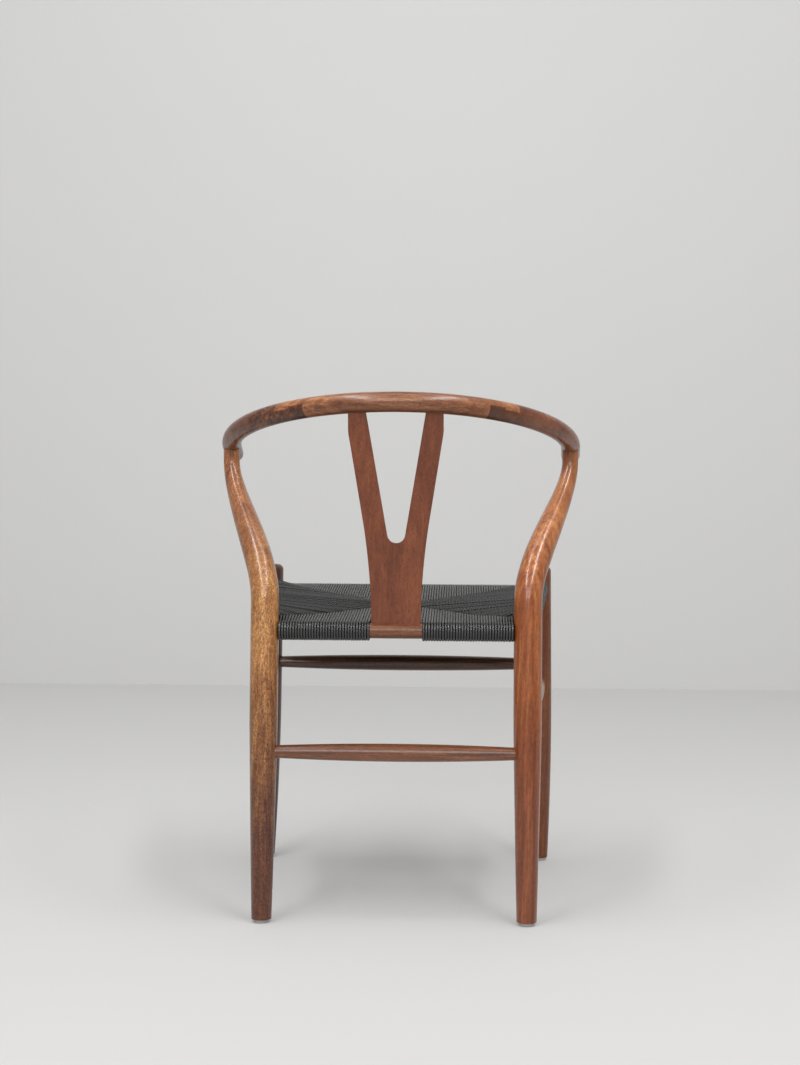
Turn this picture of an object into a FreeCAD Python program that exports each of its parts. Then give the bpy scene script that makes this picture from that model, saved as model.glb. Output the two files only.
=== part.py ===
import FreeCAD, Part
import math
import os
import Sketcher
from FreeCAD import Placement, Rotation, Vector

# Armchair with a bow-shaped top rail, a forked back splat and a seat woven from cord.
# Millimetres; the floor is z = 0, the sitter faces -Y and the sitter's left is +X.

doc = FreeCAD.newDocument("chair")
sheet = doc.addObject("Spreadsheet::Sheet", "Sizes")

SIZES = {
    # whole chair
    "overall_width": 553.0,
    "overall_depth": 512.0,
    "overall_height": 760.0,
    # bow-shaped top rail, three pieces glued with stepped laps
    "bow_diameter": 29.0,
    "bow_slope_degrees": 14.0,
    "arm_reach": 60.0,
    "arm_tip_width": 28.6,
    "arm_tip_height": 26.0,
    "arm_tip_rounding": 10.0,
    "arm_flare_degrees": 3.0,
    "lap_length": 49.0,
    "lap_place_degrees": 34.4,
    "lap_root_rise": 2.0,
    "lap_hook_drop": 1.2,
    # rear legs, bent outward and forward above the seat
    "rear_leg_spread": 380.5,
    "rear_leg_rake": 33.0,
    "rear_leg_diameter": 41.0,
    "rear_foot_diameter": 27.8,
    "rear_neck_diameter": 20.8,
    "rear_neck_length": 12.0,
    "bow_joint_setback": 31.0,
    "leg_top_tenon_diameter": 14.0,
    "leg_top_tenon_past": 4.0,
    # front legs, turned
    "front_leg_spread": 445.5,
    "front_foot_spread": 457.0,
    "front_leg_height": 491.5,
    "front_leg_diameter": 40.4,
    "front_foot_diameter": 25.0,
    "front_top_rounding": 9.0,
    # seat frame, rails measured at their middle
    "seat_frame_depth": 412.0,
    "cross_rail_height": 21.0,
    "side_rail_height": 24.0,
    "seat_rail_width": 26.0,
    "front_rail_level": 445.5,
    "rear_rail_level": 417.5,
    "side_rail_front_level": 456.5,
    "side_rail_rear_level": 428.5,
    "rail_tenon_width": 10.0,
    "rail_tenon_height": 14.0,
    "rail_tenon_inset": 7.5,
    # stretchers
    "front_stretcher_level": 328.0,
    "rear_stretcher_level": 243.0,
    "side_stretcher_level": 300.0,
    "stretcher_diameter": 26.0,
    "stretcher_end_diameter": 18.6,
    "stretcher_tenon_inset": 6.0,
    "side_stretcher_diameter": 29.0,
    # forked back splat
    "splat_thickness": 11.0,
    "splat_foot_width": 71.0,
    "splat_branch_width": 96.6,
    "splat_top_width": 134.8,
    "splat_gap_width": 88.0,
    "splat_notch_width": 24.6,
    "splat_hollow": 8.0,
    "splat_slot_depth": 11.0,
    "splat_tenon_width": 17.0,
    "splat_tenon_thickness": 6.5,
    "splat_tenon_length": 12.0,
    # woven seat
    "cord_diameter": 3.2,
    "seat_centre_top": 443.0,
    "seat_centre_thickness": 19.0,
    # foot glides and their nails
    "glide_diameter": 21.0,
    "glide_height": 5.0,
    "nail_width": 2.4,
    "nail_length": 20.0,
    # glue lines and the overrun of cutting shapes
    "glue_gap": 0.15,
    "seat_gap": 0.3,
    "cut_overrun": 6.0,
}

for row, (alias, value) in enumerate(SIZES.items(), start=1):
    sheet.set("A%d" % row, alias)
    sheet.set("B%d" % row, str(value))
    sheet.setAlias("B%d" % row, alias)
doc.recompute()


def size(alias):
    return float(sheet.get(alias))


def bind(obj, prop, expression):
    obj.setExpression(prop, expression)
    return obj


# Shares of the sizes they follow, read from the photo.
SPLAT_NOTCH_SHARE = 0.379
SPLAT_BRANCH_SHARE = 0.50
SPLAT_SHOULDER_SHARE = 0.845
SPLAT_UPRIGHT_SHARE = 0.905
SPLAT_SHOULDER_WIDTH_SHARE = 0.982
SPLAT_NOTCH_RISE_SHARE = 0.0335
SPLAT_WAIST_SAG_SHARE = 0.016
# heights along the straight part of the rear leg, floor to bend, where its taper begins and ends
REAR_TAPER_SHARES = (0.035, 0.49)
# the bend begins at a share of the way from the rear seat rail to the neck under the arm;
# its curve runs on straight from both ends for a share of its span
BEND_START_SHARE = 0.181
BEND_ARM_SHARE = 0.255
BEND_SHARES = (0.12, 0.25, 0.38, 0.51, 0.64, 0.8, 1.0)
BEND_TAPER_START_SHARE = 0.163
BEND_TAPER_SPAN_SHARE = 0.88
# stations along the front leg's curved foot; its curve ends at a share of the leg's height
FRONT_FOOT_SHARES = (0.0, 0.08, 0.17, 0.27, 0.39, 0.53, 0.72, 1.0)
FRONT_TAPER_SHARE = 0.58
# stations of a stretcher's swelling, from one end to the middle
SWELL_SHARES = (0.0, 0.06, 0.14, 0.26, 0.5)
# radius of the long curve of the rear foot, as a share of the rear rail's level
FOOT_CURVE_SHARE = 13
# a rounded corner in three flats: shares of its inset and of its drop
ROUND_SHARES = ((0.0, 1.0), (0.134, 0.5), (0.5, 0.134), (1.0, 0.0))
# radius of a rail's rounded edge and how far it stands out, as shares of the rail's height
EDGE_ROUND_SHARE = 0.52
EDGE_SAG_SHARE = 0.3772
WEDGE_REACH_SHARE = 1.25
JOINT_REACH_SHARE = 1.15
ARM_SPREAD_SHARE = 0.45
ARM_STEPS = 5

# Places of the pieces, worked out from the sizes above.
bow_r = size("bow_diameter") / 2
slope = math.radians(size("bow_slope_degrees"))
flare = math.radians(size("arm_flare_degrees"))
arm_run = size("arm_reach") - size("arm_tip_rounding")
arm_outer = size("arm_tip_width") / 2 * math.cos(flare) + arm_run * math.sin(flare)
bow_radius = (size("overall_width") / 2 - arm_outer) / math.cos(flare)
bow_back = Vector(0, size("overall_depth") / 2 - bow_r, size("overall_height") - bow_r)
bow_centre = bow_back - Vector(0, math.cos(slope), math.sin(slope)) * bow_radius
bow_place = Placement(bow_centre, Rotation(Vector(1, 0, 0), size("bow_slope_degrees")))

front_y = size("front_leg_diameter") / 2 - size("overall_depth") / 2
rear_y = front_y + size("seat_frame_depth")
glide_top = size("glide_height")
UP = Vector(0, 0, 1)


def front_axis(sign, level):
    share = level / size("front_leg_height")
    top = size("front_leg_spread") / 2
    foot = size("front_foot_spread") / 2
    return Vector(sign * (foot + (top - foot) * share), front_y, level)


def rear_axis(sign, level):
    back = size("rear_leg_rake") * (1 - level / size("rear_rail_level"))
    return Vector(sign * size("rear_leg_spread") / 2, rear_y + back, level)


def on_bow(across):
    along = math.sqrt(bow_radius ** 2 - across ** 2)
    return bow_place.multVec(Vector(across, along, 0))


def cylinder(label, radius, start, end):
    rod = doc.addObject("Part::Cylinder", label)
    rod.Label = label
    bind(rod, "Radius", radius)
    rod.Height = (end - start).Length
    rod.Placement = Placement(start, Rotation(UP, end - start))
    return rod


def gather(kind, label, pieces):
    joined = doc.addObject(kind, label)
    joined.Label = label
    if kind == "Part::Compound":
        joined.Links = pieces
    else:
        joined.Shapes = pieces
    return joined


def cut(label, base, tools):
    cutter = gather("Part::Compound", label + "_cutters", tools) if len(tools) > 1 else tools[0]
    result = doc.addObject("Part::Cut", label)
    result.Label = label
    result.Base = base
    result.Tool = cutter
    return result


def sketch_on(body, role, name):
    sketch = body.newObject("Sketcher::SketchObject", name)
    plane = [f for f in body.Origin.OriginFeatures if f.Role == role][0]
    sketch.AttachmentSupport = [(plane, "")]
    sketch.MapMode = "FlatFace"
    return sketch


def outline(sketch, corners):
    # corners: (x, y, radius of the arc that leaves this corner, side it bulges to)
    where = []
    for corner in corners:
        across, up = [float(sketch.evalExpression(expression)) for expression in corner[:2]]
        where.append(Vector(across, up, 0))
    ends = []
    for i, corner in enumerate(corners):
        a, b = where[i], where[(i + 1) % len(corners)]
        if len(corner) == 2:
            geo = sketch.addGeometry(Part.LineSegment(a, b))
            ends.append((geo, 1, 2))
            continue
        radius = float(sketch.evalExpression(corner[2]))
        half = (b - a).Length / 2
        sag = radius - math.sqrt(max(radius * radius - half * half, 0))
        normal = Vector(b.y - a.y, a.x - b.x, 0).normalize()
        middle = (a + b) / 2 + normal * sag * corner[3]
        geo = sketch.addGeometry(Part.Arc(a, middle, b))
        forward = (sketch.getPoint(geo, 1) - a).Length < (sketch.getPoint(geo, 2) - a).Length
        ends.append((geo, 1, 2) if forward else (geo, 2, 1))
    for i in range(len(corners)):
        this, after = ends[i], ends[(i + 1) % len(corners)]
        sketch.addConstraint(Sketcher.Constraint("Coincident", this[0], this[2], after[0], after[1]))
    for i, corner in enumerate(corners):
        geo, first, last = ends[i]
        for kind, expression in (("DistanceX", corner[0]), ("DistanceY", corner[1])):
            value = float(sketch.evalExpression(expression))
            n = sketch.addConstraint(Sketcher.Constraint(kind, -1, 1, geo, first, value))
            if expression != "0":
                sketch.setExpression("Constraints[%d]" % n, expression)
        if len(corner) > 2:
            radius = float(sketch.evalExpression(corner[2]))
            n = sketch.addConstraint(Sketcher.Constraint("Radius", geo, radius))
            sketch.setExpression("Constraints[%d]" % n, corner[2])
    return sketch


def turned(label, corners):
    # a piece turned about its own upright axis; corners are (radius, height, ...)
    body = doc.addObject("PartDesign::Body", label)
    body.Label = label
    sketch = outline(sketch_on(body, "XZ_Plane", label + "_profile"), corners)
    doc.recompute()
    round_form = body.newObject("PartDesign::Revolution", label + "_turning")
    round_form.Profile = sketch
    round_form.ReferenceAxis = (sketch, ["V_Axis"])
    round_form.Angle = 360
    return body


def ring_at(label, place, wide, tall):
    ring = doc.addObject("Part::Ellipse", label)
    bind(ring, "MajorRadius", wide)
    bind(ring, "MinorRadius", tall)
    ring.Placement = place
    return ring


def through(label, rings):
    form = doc.addObject("Part::Loft", label)
    form.Sections = rings
    form.Solid = True
    form.Ruled = True
    return form


def round_piece(label, place, stations):
    # a straight round piece; stations are (distance along its axis, radius)
    runs = []
    rings = []
    for number, (along, radius) in enumerate(stations):
        here = place.multVec(UP * along)
        if number and stations[number - 1][1] == radius:
            if len(rings) > 1:
                runs.append(through(label + "_taper", rings))
            runs.append(cylinder(label + "_plain", radius, place.multVec(UP * stations[number - 1][0]), here))
            rings = []
        rings.append(ring_at(label + "_ring", Placement(here, place.Rotation), radius, radius))
    if len(rings) > 1:
        runs.append(through(label + "_taper", rings))
    return gather("Part::MultiFuse", label, runs)


nodes = {}

# Top rail: a round half circle with straight arms, cut into three pieces by stepped laps.
# The upper fingers of the centre piece lie on the lower fingers of the arms.
lap_half = math.degrees(size("lap_length") / 2 / bow_radius)
lap_at = size("lap_place_degrees")
lap_parts = []
for name, first, last, floor in (
    ("root", lap_half - lap_at, lap_at - lap_half, -bow_r - size("cut_overrun")),
    ("middle", -lap_at, lap_at, size("lap_root_rise")),
    ("hook_left", -lap_at - lap_half, -lap_at, -size("lap_hook_drop")),
    ("hook_right", lap_at, lap_at + lap_half, -size("lap_hook_drop")),
):
    sector = doc.addObject("Part::Cylinder", "lap_" + name)
    sector.Radius = bow_radius + bow_r + size("cut_overrun")
    sector.Height = bow_r + size("cut_overrun") - floor
    sector.Angle = last - first
    sector.Placement = bow_place.multiply(Placement(Vector(0, 0, floor), Rotation(UP, 90 + first)))
    lap_parts.append(sector)
centre_zone = gather("Part::MultiFuse", "centre_zone", lap_parts)


BOW_R = "Sizes.bow_diameter / 2"


def bow_station(degrees, along=0):
    # place of a round section, counted from the middle of the back towards the left arm
    turn = math.radians(90 - degrees)
    outward = Vector(math.cos(turn), math.sin(turn), 0)
    heading = Vector(-math.sin(turn), math.cos(turn), 0)
    place = Placement(outward * bow_radius + heading * along, Rotation(outward, UP * -1, heading, "ZXY"))
    return bow_place.multiply(place)


def bow_lap(label, first, last):
    # an exact round stretch of the bow for a stepped lap
    bend = doc.addObject("Part::Torus", label)
    bind(bend, "Radius1", "Sizes.overall_width * %r" % (bow_radius / size("overall_width")))
    bind(bend, "Radius2", BOW_R)
    bend.Angle3 = abs(last - first)
    bend.Placement = bow_place.multiply(Placement(Vector(), Rotation(UP, 90 - max(first, last))))
    return bend


def bow_bend(label, places):
    return through(label, [ring_at(label + "_ring", place, BOW_R, BOW_R) for place in places])


def bow_joint(label, degrees, half, spare):
    # a short straight stretch where a leg or a prong meets the bow
    start = bow_station(degrees, -half - spare).Base
    end = bow_station(degrees, half + spare).Base
    return cylinder(label, BOW_R + (" + Sizes.glue_gap" if spare else ""), start, end)


prong_x = (size("splat_top_width") + size("splat_gap_width")) / 4
prong_half = (size("splat_top_width") - size("splat_gap_width")) / 4 * JOINT_REACH_SHARE
prong_at = math.degrees(math.asin(prong_x / bow_radius))
joint_y = size("bow_joint_setback")
joint_x = math.sqrt(bow_radius ** 2 - joint_y ** 2)
joint_at = math.degrees(math.atan2(joint_x, joint_y))
joint_half = size("rear_neck_diameter") / 2 * JOINT_REACH_SHARE

lap_in = lap_at - lap_half
lap_out = lap_at + lap_half
prong_reach = math.degrees(prong_half / bow_radius)
shoulder_at = (lap_in + prong_at + prong_reach) / 2
middle_at = (prong_at - prong_reach) / 2
centre_form = gather("Part::MultiFuse", "top_rail_centre_form", [
    bow_lap("centre_lap_left", lap_in, lap_out),
    bow_bend("centre_bend_left", [bow_station(lap_in), bow_station(shoulder_at),
                                  bow_station(prong_at, -prong_half)]),
    bow_joint("centre_joint_left", prong_at, prong_half, 0),
    bow_bend("centre_bend", [bow_station(prong_at, prong_half), bow_station(middle_at), bow_station(0),
                             bow_station(-middle_at), bow_station(-prong_at, -prong_half)]),
    bow_joint("centre_joint_right", -prong_at, prong_half, 0),
    bow_bend("centre_bend_right", [bow_station(-prong_at, prong_half), bow_station(-shoulder_at),
                                   bow_station(-lap_in)]),
    bow_lap("centre_lap_right", -lap_in, -lap_out),
])
centre_blank = gather("Part::MultiCommon", "top_rail_centre_blank", [centre_form, centre_zone])

arm_blanks = {}
for side, sign in (("left", 1), ("right", -1)):
    # the arm runs on from the bend, flared a little, and flattens towards its rounded tip
    last = sign * (90 - size("arm_flare_degrees"))
    rings = [ring_at("arm_root_ring_" + side, bow_station(sign * joint_at, -sign * joint_half), BOW_R, BOW_R),
             ring_at("arm_root_ring_" + side, bow_station(last, -sign * joint_half), BOW_R, BOW_R)]
    rounding = size("arm_tip_rounding")
    ends = [(ARM_SPREAD_SHARE * arm_run, 0.0)]
    ends += [(arm_run + rounding * (1 - drop), inset) for inset, drop in ROUND_SHARES]
    for along, inset in ends:
        slim = "Sizes.arm_tip_rounding * %r" % inset
        rings.append(ring_at("arm_tip_ring_" + side, bow_station(last, -sign * along),
                             "Sizes.arm_tip_width / 2 - " + slim, "Sizes.arm_tip_height / 2 - " + slim))
    joint_in = joint_at - math.degrees(joint_half / bow_radius)
    bends = []
    for step in range(ARM_STEPS):
        bends.append(bow_station(sign * (lap_out + (joint_in - lap_out) * step / ARM_STEPS)))
    arm_form = gather("Part::MultiFuse", "arm_form_" + side, [
        bow_lap("arm_lap_" + side, sign * lap_in, sign * lap_out),
        bow_bend("arm_bend_" + side, bends + [bow_station(sign * joint_at, sign * joint_half)]),
        bow_joint("arm_joint_" + side, sign * joint_at, joint_half, 0),
        through("arm_tip_" + side, rings),
    ])
    arm_blanks[side] = cut("arm_blank_" + side, arm_form, [centre_zone])

# Rear legs: round, tapered to the foot, then bent outward and forward to the arms.
# The neck is coped to the arm's underside and carries a round tenon.
TENON_TOP = "Sizes.leg_top_tenon_diameter / 2"


def rear_leg_blank(side, sign):
    joint = bow_station(sign * joint_at).Base
    foot = rear_axis(sign, 0)
    neck = Vector(joint.x, joint.y, joint.z - bow_r - size("rear_neck_length"))
    rail_level = size("rear_rail_level")
    start = rear_axis(sign, rail_level + (neck.z - rail_level) * BEND_START_SHARE)
    lean = (start - foot).normalize()
    bend_arm = (neck - start).Length * BEND_ARM_SHARE
    one = start + lean * bend_arm
    two = neck - UP * bend_arm
    girth = size("rear_leg_diameter")
    shank = "Sizes.rear_rail_level * %r" % ((start - foot).Length / rail_level)
    low, high = ["%s * %r" % (shank, share) for share in REAR_TAPER_SHARES]
    lower = turned("rear_leg_shank_" + side, [
        ("0", "0"),
        ("Sizes.rear_foot_diameter / 2", "0"),
        ("Sizes.rear_foot_diameter / 2", low, "Sizes.rear_rail_level * %r" % FOOT_CURVE_SHARE, 1),
        ("Sizes.rear_leg_diameter / 2", high),
        ("Sizes.rear_leg_diameter / 2", shank),
        ("0", shank),
    ])
    lower.Placement = Placement(foot, Rotation(UP, lean))
    places = [(start, lean, girth)]
    for share in BEND_SHARES:
        rest = 1 - share
        point = start * rest ** 3 + one * (3 * rest ** 2 * share)
        point = point + two * (3 * rest * share ** 2) + neck * share ** 3
        heading = (one - start) * rest ** 2 + (two - one) * (2 * rest * share) + (neck - two) * share ** 2
        fall = min(max((share - BEND_TAPER_START_SHARE) / BEND_TAPER_SPAN_SHARE, 0), 1)
        fall = fall * fall * (3 - 2 * fall)
        places.append((point, heading, girth + (size("rear_neck_diameter") - girth) * fall))
    rings = []
    sideways = (neck - start).cross(UP).normalize()
    for point, heading, diameter in places:
        radius = "Sizes.rear_leg_diameter / 2 * %r" % (diameter / girth)
        turn = Rotation(sideways, heading.cross(sideways), heading, "ZXY")
        rings.append(ring_at("rear_leg_ring_" + side, Placement(point, turn), radius, radius))
    bend = through("rear_leg_bend_" + side, rings)
    below = doc.addObject("Part::Box", "rear_foot_trim_" + side)
    bind(below, "Length", "Sizes.rear_leg_diameter * 2")
    bind(below, "Width", "Sizes.rear_leg_diameter * 2")
    bind(below, "Height", "Sizes.glide_height + Sizes.cut_overrun")
    below.Placement = Placement(Vector(foot.x - girth, foot.y - girth, -size("cut_overrun")), Rotation())
    top = cylinder("rear_leg_neck_" + side, "Sizes.rear_neck_diameter / 2", neck, joint)
    whole = gather("Part::MultiFuse", "rear_leg_whole_" + side, [lower, bend, top])
    cope = bow_joint("rear_leg_cope_" + side, sign * joint_at, joint_half, size("cut_overrun"))
    coped = cut("rear_leg_coped_" + side, whole, [cope, below])
    tenon = cylinder("rear_leg_tenon_" + side, TENON_TOP, neck, joint + UP * size("leg_top_tenon_past"))
    return gather("Part::MultiFuse", "rear_leg_blank_" + side, [coped, tenon])


# Front legs: turned, slightly splayed, with a rounded top.
def front_leg_blank(side, sign):
    foot = front_axis(sign, glide_top)
    top = front_axis(sign, size("front_leg_height"))
    length = (top - foot).Length
    full = "Sizes.front_leg_diameter / 2"
    stations = []
    for share in FRONT_FOOT_SHARES:
        thin = "(Sizes.front_leg_diameter - Sizes.front_foot_diameter) / 2 * %r" % ((1 - share) ** 2)
        stations.append((length * FRONT_TAPER_SHARE * share, full + " - " + thin if share < 1 else full))
    for inset, drop in ROUND_SHARES:
        slim = " - Sizes.front_top_rounding * %r" % inset
        stations.append((length - size("front_top_rounding") * drop, full + slim if inset else full))
    return round_piece("front_leg_blank_" + side, Placement(foot, Rotation(UP, top - foot)), stations)


leg_blanks = {}
leg_bores = {}
for side, sign in (("left", 1), ("right", -1)):
    leg_blanks["rear_leg_" + side] = rear_leg_blank(side, sign)
    leg_blanks["front_leg_" + side] = front_leg_blank(side, sign)
    leg_bores["rear_leg_" + side] = []
    leg_bores["front_leg_" + side] = []


def bore(leg, label, radius, start, end):
    leg_bores[leg].append(cylinder(label + "_mortise", radius + " + Sizes.glue_gap", start, end))


def ends_between(here, there, inset):
    step = (there - here).normalize()
    return here + step * inset, there - step * inset


# Seat rails: straight bars with rounded edges and flat tenons in the legs.
def flat_tenon(label, start, end, spare):
    # a bar of the tenon's section from a start to an end, with some room round it
    run = end - start
    bar = doc.addObject("Part::Box", label)
    bar.Length = run.Length
    bind(bar, "Width", "Sizes.rail_tenon_width + %r * Sizes.glue_gap" % spare)
    bind(bar, "Height", "Sizes.rail_tenon_height + %r * Sizes.glue_gap" % spare)
    gap = spare * size("glue_gap")
    corner = Vector(0, -size("rail_tenon_width") - gap, -size("rail_tenon_height") - gap) / 2
    turn = Rotation(run, UP.cross(run), run.cross(UP.cross(run)), "XYZ")
    bar.Placement = Placement(start, turn).multiply(Placement(corner, Rotation()))
    return bar


rail_blanks = {}
rail_runs = {}
for rail, legs, here, there, tall in (
    ("front_seat_rail", ("front_leg_right", "front_leg_left"), front_axis(-1, size("front_rail_level")),
     front_axis(1, size("front_rail_level")), "Sizes.cross_rail_height"),
    ("rear_seat_rail", ("rear_leg_right", "rear_leg_left"), rear_axis(-1, size("rear_rail_level")),
     rear_axis(1, size("rear_rail_level")), "Sizes.cross_rail_height"),
    ("left_seat_rail", ("front_leg_left", "rear_leg_left"), front_axis(1, size("side_rail_front_level")),
     rear_axis(1, size("side_rail_rear_level")), "Sizes.side_rail_height"),
    ("right_seat_rail", ("front_leg_right", "rear_leg_right"), front_axis(-1, size("side_rail_front_level")),
     rear_axis(-1, size("side_rail_rear_level")), "Sizes.side_rail_height"),
):
    rail_runs[rail] = (here, there)
    clear = max(size("front_leg_diameter"), size("rear_leg_diameter")) / 2 + size("seat_gap")
    start, end = ends_between(here, there, clear)
    body = doc.addObject("PartDesign::Body", rail + "_bar")
    side_x = "(Sizes.seat_rail_width / 2 - %s * %r)" % (tall, EDGE_SAG_SHARE)
    edge = "%s * %r" % (tall, EDGE_ROUND_SHARE)
    section = outline(sketch_on(body, "XY_Plane", rail + "_section"), [
        ("-" + side_x, "-%s / 2" % tall),
        (side_x, "-%s / 2" % tall, edge, 1),
        (side_x, "%s / 2" % tall),
        ("-" + side_x, "%s / 2" % tall, edge, 1),
    ])
    doc.recompute()
    form = body.newObject("PartDesign::Pad", rail + "_length")
    form.Profile = section
    bind(form, "Length", "Sizes.seat_frame_depth * %r" % ((end - start).Length / size("seat_frame_depth")))
    body.Placement = Placement(start, Rotation(UP.cross(end - start), UP, end - start, "ZXY"))
    form = body
    first, last = ends_between(here, there, size("rail_tenon_inset"))
    tenons = flat_tenon(rail + "_tenons", first, last, 0)
    rail_blanks[rail] = gather("Part::MultiFuse", rail + "_blank", [form, tenons])
    floor, roof = ends_between(here, there, size("rail_tenon_inset") - size("glue_gap"))
    reach, back = ends_between(here, there, clear + size("cut_overrun"))
    leg_bores[legs[0]].append(flat_tenon(rail + "_first_mortise", floor, reach, 2))
    leg_bores[legs[1]].append(flat_tenon(rail + "_last_mortise", back, roof, 2))

# Stretchers: turned round, swelling to the middle; their plain ends are glued in the legs.
STRETCHER_END = "Sizes.stretcher_end_diameter / 2"
front_level = size("front_stretcher_level")
rear_level = size("rear_stretcher_level")
side_level = size("side_stretcher_level")
for piece, legs, here, there, full in (
    ("front_stretcher", ("front_leg_right", "front_leg_left"),
     front_axis(-1, front_level), front_axis(1, front_level), "stretcher_diameter"),
    ("rear_stretcher", ("rear_leg_right", "rear_leg_left"),
     rear_axis(-1, rear_level), rear_axis(1, rear_level), "stretcher_diameter"),
    ("left_side_stretcher", ("front_leg_left", "rear_leg_left"),
     front_axis(1, side_level), rear_axis(1, side_level), "side_stretcher_diameter"),
    ("right_side_stretcher", ("front_leg_right", "rear_leg_right"),
     front_axis(-1, side_level), rear_axis(-1, side_level), "side_stretcher_diameter"),
):
    clear = max(size("front_leg_diameter"), size("rear_leg_diameter")) / 2
    start, end = ends_between(here, there, clear)
    first, last = ends_between(here, there, size("stretcher_tenon_inset"))
    tail = (start - first).Length
    span = (end - start).Length
    stations = [(0, STRETCHER_END)]
    for share in SWELL_SHARES + tuple(1 - share for share in reversed(SWELL_SHARES[:-1])):
        thick = " + (Sizes.%s - Sizes.stretcher_end_diameter) / 2 * %r" % (full, 1 - (2 * share - 1) ** 2)
        stations.append((tail + span * share, STRETCHER_END + thick if 0 < share < 1 else STRETCHER_END))
    stations.append((tail + span + tail, STRETCHER_END))
    nodes[piece] = round_piece(piece, Placement(first, Rotation(UP, last - first)), stations)
    floor, roof = ends_between(here, there, size("stretcher_tenon_inset") - size("glue_gap"))
    reach, back = ends_between(here, there, clear + size("cut_overrun"))
    bore(legs[0], piece + "_first", STRETCHER_END, floor, reach)
    bore(legs[1], piece + "_last", STRETCHER_END, back, roof)

# Foot glides: round plastic pads, each held by a square headless nail driven up into the leg.
def square_pin(label, width, start, end):
    pin = doc.addObject("Part::Box", label)
    for edge in ("Length", "Width"):
        bind(pin, edge, width)
    pin.Height = end.z - start.z
    half = float(pin.evalExpression(width)) / 2
    pin.Placement = Placement(start - Vector(half, half, 0), Rotation())
    return pin


nails = []
pads = {"front": [], "rear": []}
for leg in leg_blanks:
    sign = 1 if leg.endswith("left") else -1
    end = "rear" if leg.startswith("rear") else "front"
    foot = rear_axis(sign, 0) if end == "rear" else front_axis(sign, 0)
    glide = leg.replace("leg", "glide")
    pad_r = "Sizes.glide_diameter / 2"
    pad = cylinder(glide + "_pad", pad_r, foot, foot + UP * glide_top)
    low = foot + UP * (glide_top / 2)
    point = foot + UP * (glide_top + size("nail_length"))
    slack = UP * size("glue_gap")
    nails.append(square_pin("nail_" + leg, "Sizes.nail_width", low, point))
    hole = square_pin("nail_hole_" + leg, "Sizes.nail_width + 2 * Sizes.glue_gap", low - slack, point + slack)
    pads[end].append(cut(glide, pad, [hole]))
    leg_bores[leg].append(hole)
for end in pads:
    nodes[end + "_foot_glides"] = gather("Part::Compound", end + "_foot_glides", pads[end])
nodes["glide_nails"] = gather("Part::Compound", "glide_nails", nails)

# Arms take the leg tenons from below.
for side, sign in (("left", 1), ("right", -1)):
    joint = bow_place.multVec(Vector(sign * joint_x, joint_y, 0))
    low = joint - UP * (bow_r + size("cut_overrun"))
    high = joint + UP * (size("leg_top_tenon_past") + size("glue_gap"))
    socket = cylinder("arm_socket_" + side, TENON_TOP + " + Sizes.glue_gap", low, high)
    nodes["top_rail_arm_" + side] = cut("top_rail_arm_" + side, arm_blanks[side], [socket])

for leg in leg_blanks:
    nodes[leg] = cut(leg, leg_blanks[leg], leg_bores[leg])

# Back splat: a forked board with a gentle hollow, its foot in a slot of the rear rail and
# a tenon on each prong in the top rail.
prong_on_bow = on_bow(prong_x)
prong_top = Vector(0, prong_on_bow.y, prong_on_bow.z)
splat_low = Vector(0, rear_y, size("rear_rail_level"))
chord = prong_top - splat_low
sag = size("splat_hollow")
hollow_r = (chord.Length ** 2 / 4 + sag * sag) / (2 * sag)
to_back = Vector(0, chord.z, -chord.y).normalize()
hollow_axis = (prong_top + splat_low) / 2 + to_back * (hollow_r - sag)
half_board = size("splat_thickness") / 2


def hollow_board(label, spare):
    wide = size("splat_top_width") / 2 + size("cut_overrun")
    skins = []
    for name, radius in (("outer", hollow_r + half_board + spare), ("inner", hollow_r - half_board - spare)):
        skin = doc.addObject("Part::Cylinder", label + "_" + name)
        skin.Radius = radius
        skin.Height = 2 * wide
        skin.Placement = Placement(hollow_axis - Vector(wide, 0, 0), Rotation(UP, Vector(1, 0, 0)))
        skins.append(skin)
    return cut(label, skins[0], skins[1:])


rail_top = size("rear_rail_level") + size("cross_rail_height") / 2
splat_base = rail_top - size("splat_slot_depth")
splat_rise = prong_top.z - rail_top
tall_scale = size("overall_height")


def up_splat(share):
    return "Sizes.overall_height * %r" % ((rail_top + splat_rise * share) / tall_scale)


def arc_through(one, two, bulge):
    half = math.hypot(two[0] - one[0], two[1] - one[1]) / 2
    return (half * half + bulge * bulge) / (2 * bulge)


foot_half = size("splat_foot_width") / 2
branch_half = size("splat_branch_width") / 2
notch_half = size("splat_notch_width") / 2
waist = arc_through((foot_half, rail_top), (branch_half, rail_top + splat_rise * SPLAT_BRANCH_SHARE),
                    splat_rise * SPLAT_WAIST_SAG_SHARE)
shoulder_half = size("splat_top_width") / 2 * SPLAT_SHOULDER_WIDTH_SHARE
blend_run = splat_rise * (SPLAT_UPRIGHT_SHARE - SPLAT_SHOULDER_SHARE)
blend = arc_through((shoulder_half, 0), (size("splat_top_width") / 2, blend_run),
                    (size("splat_top_width") / 2 - shoulder_half) / 2)
notch = arc_through((-notch_half, 0), (notch_half, 0), splat_rise * SPLAT_NOTCH_RISE_SHARE)
scale_by = "Sizes.splat_foot_width * %r"
WAIST_R = scale_by % (waist / size("splat_foot_width"))
BLEND_R = scale_by % (blend / size("splat_foot_width"))
NOTCH_R = scale_by % (notch / size("splat_foot_width"))
FOOT = "Sizes.splat_foot_width / 2"
BRANCH = "Sizes.splat_branch_width / 2"
SHOULDER = "Sizes.splat_top_width / 2 * %r" % SPLAT_SHOULDER_WIDTH_SHARE
UPRIGHT = "Sizes.splat_top_width / 2"
GAP = "Sizes.splat_gap_width / 2"
NOTCH = "Sizes.splat_notch_width / 2"
BASE = "Sizes.overall_height * %r" % (splat_base / tall_scale)
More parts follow.
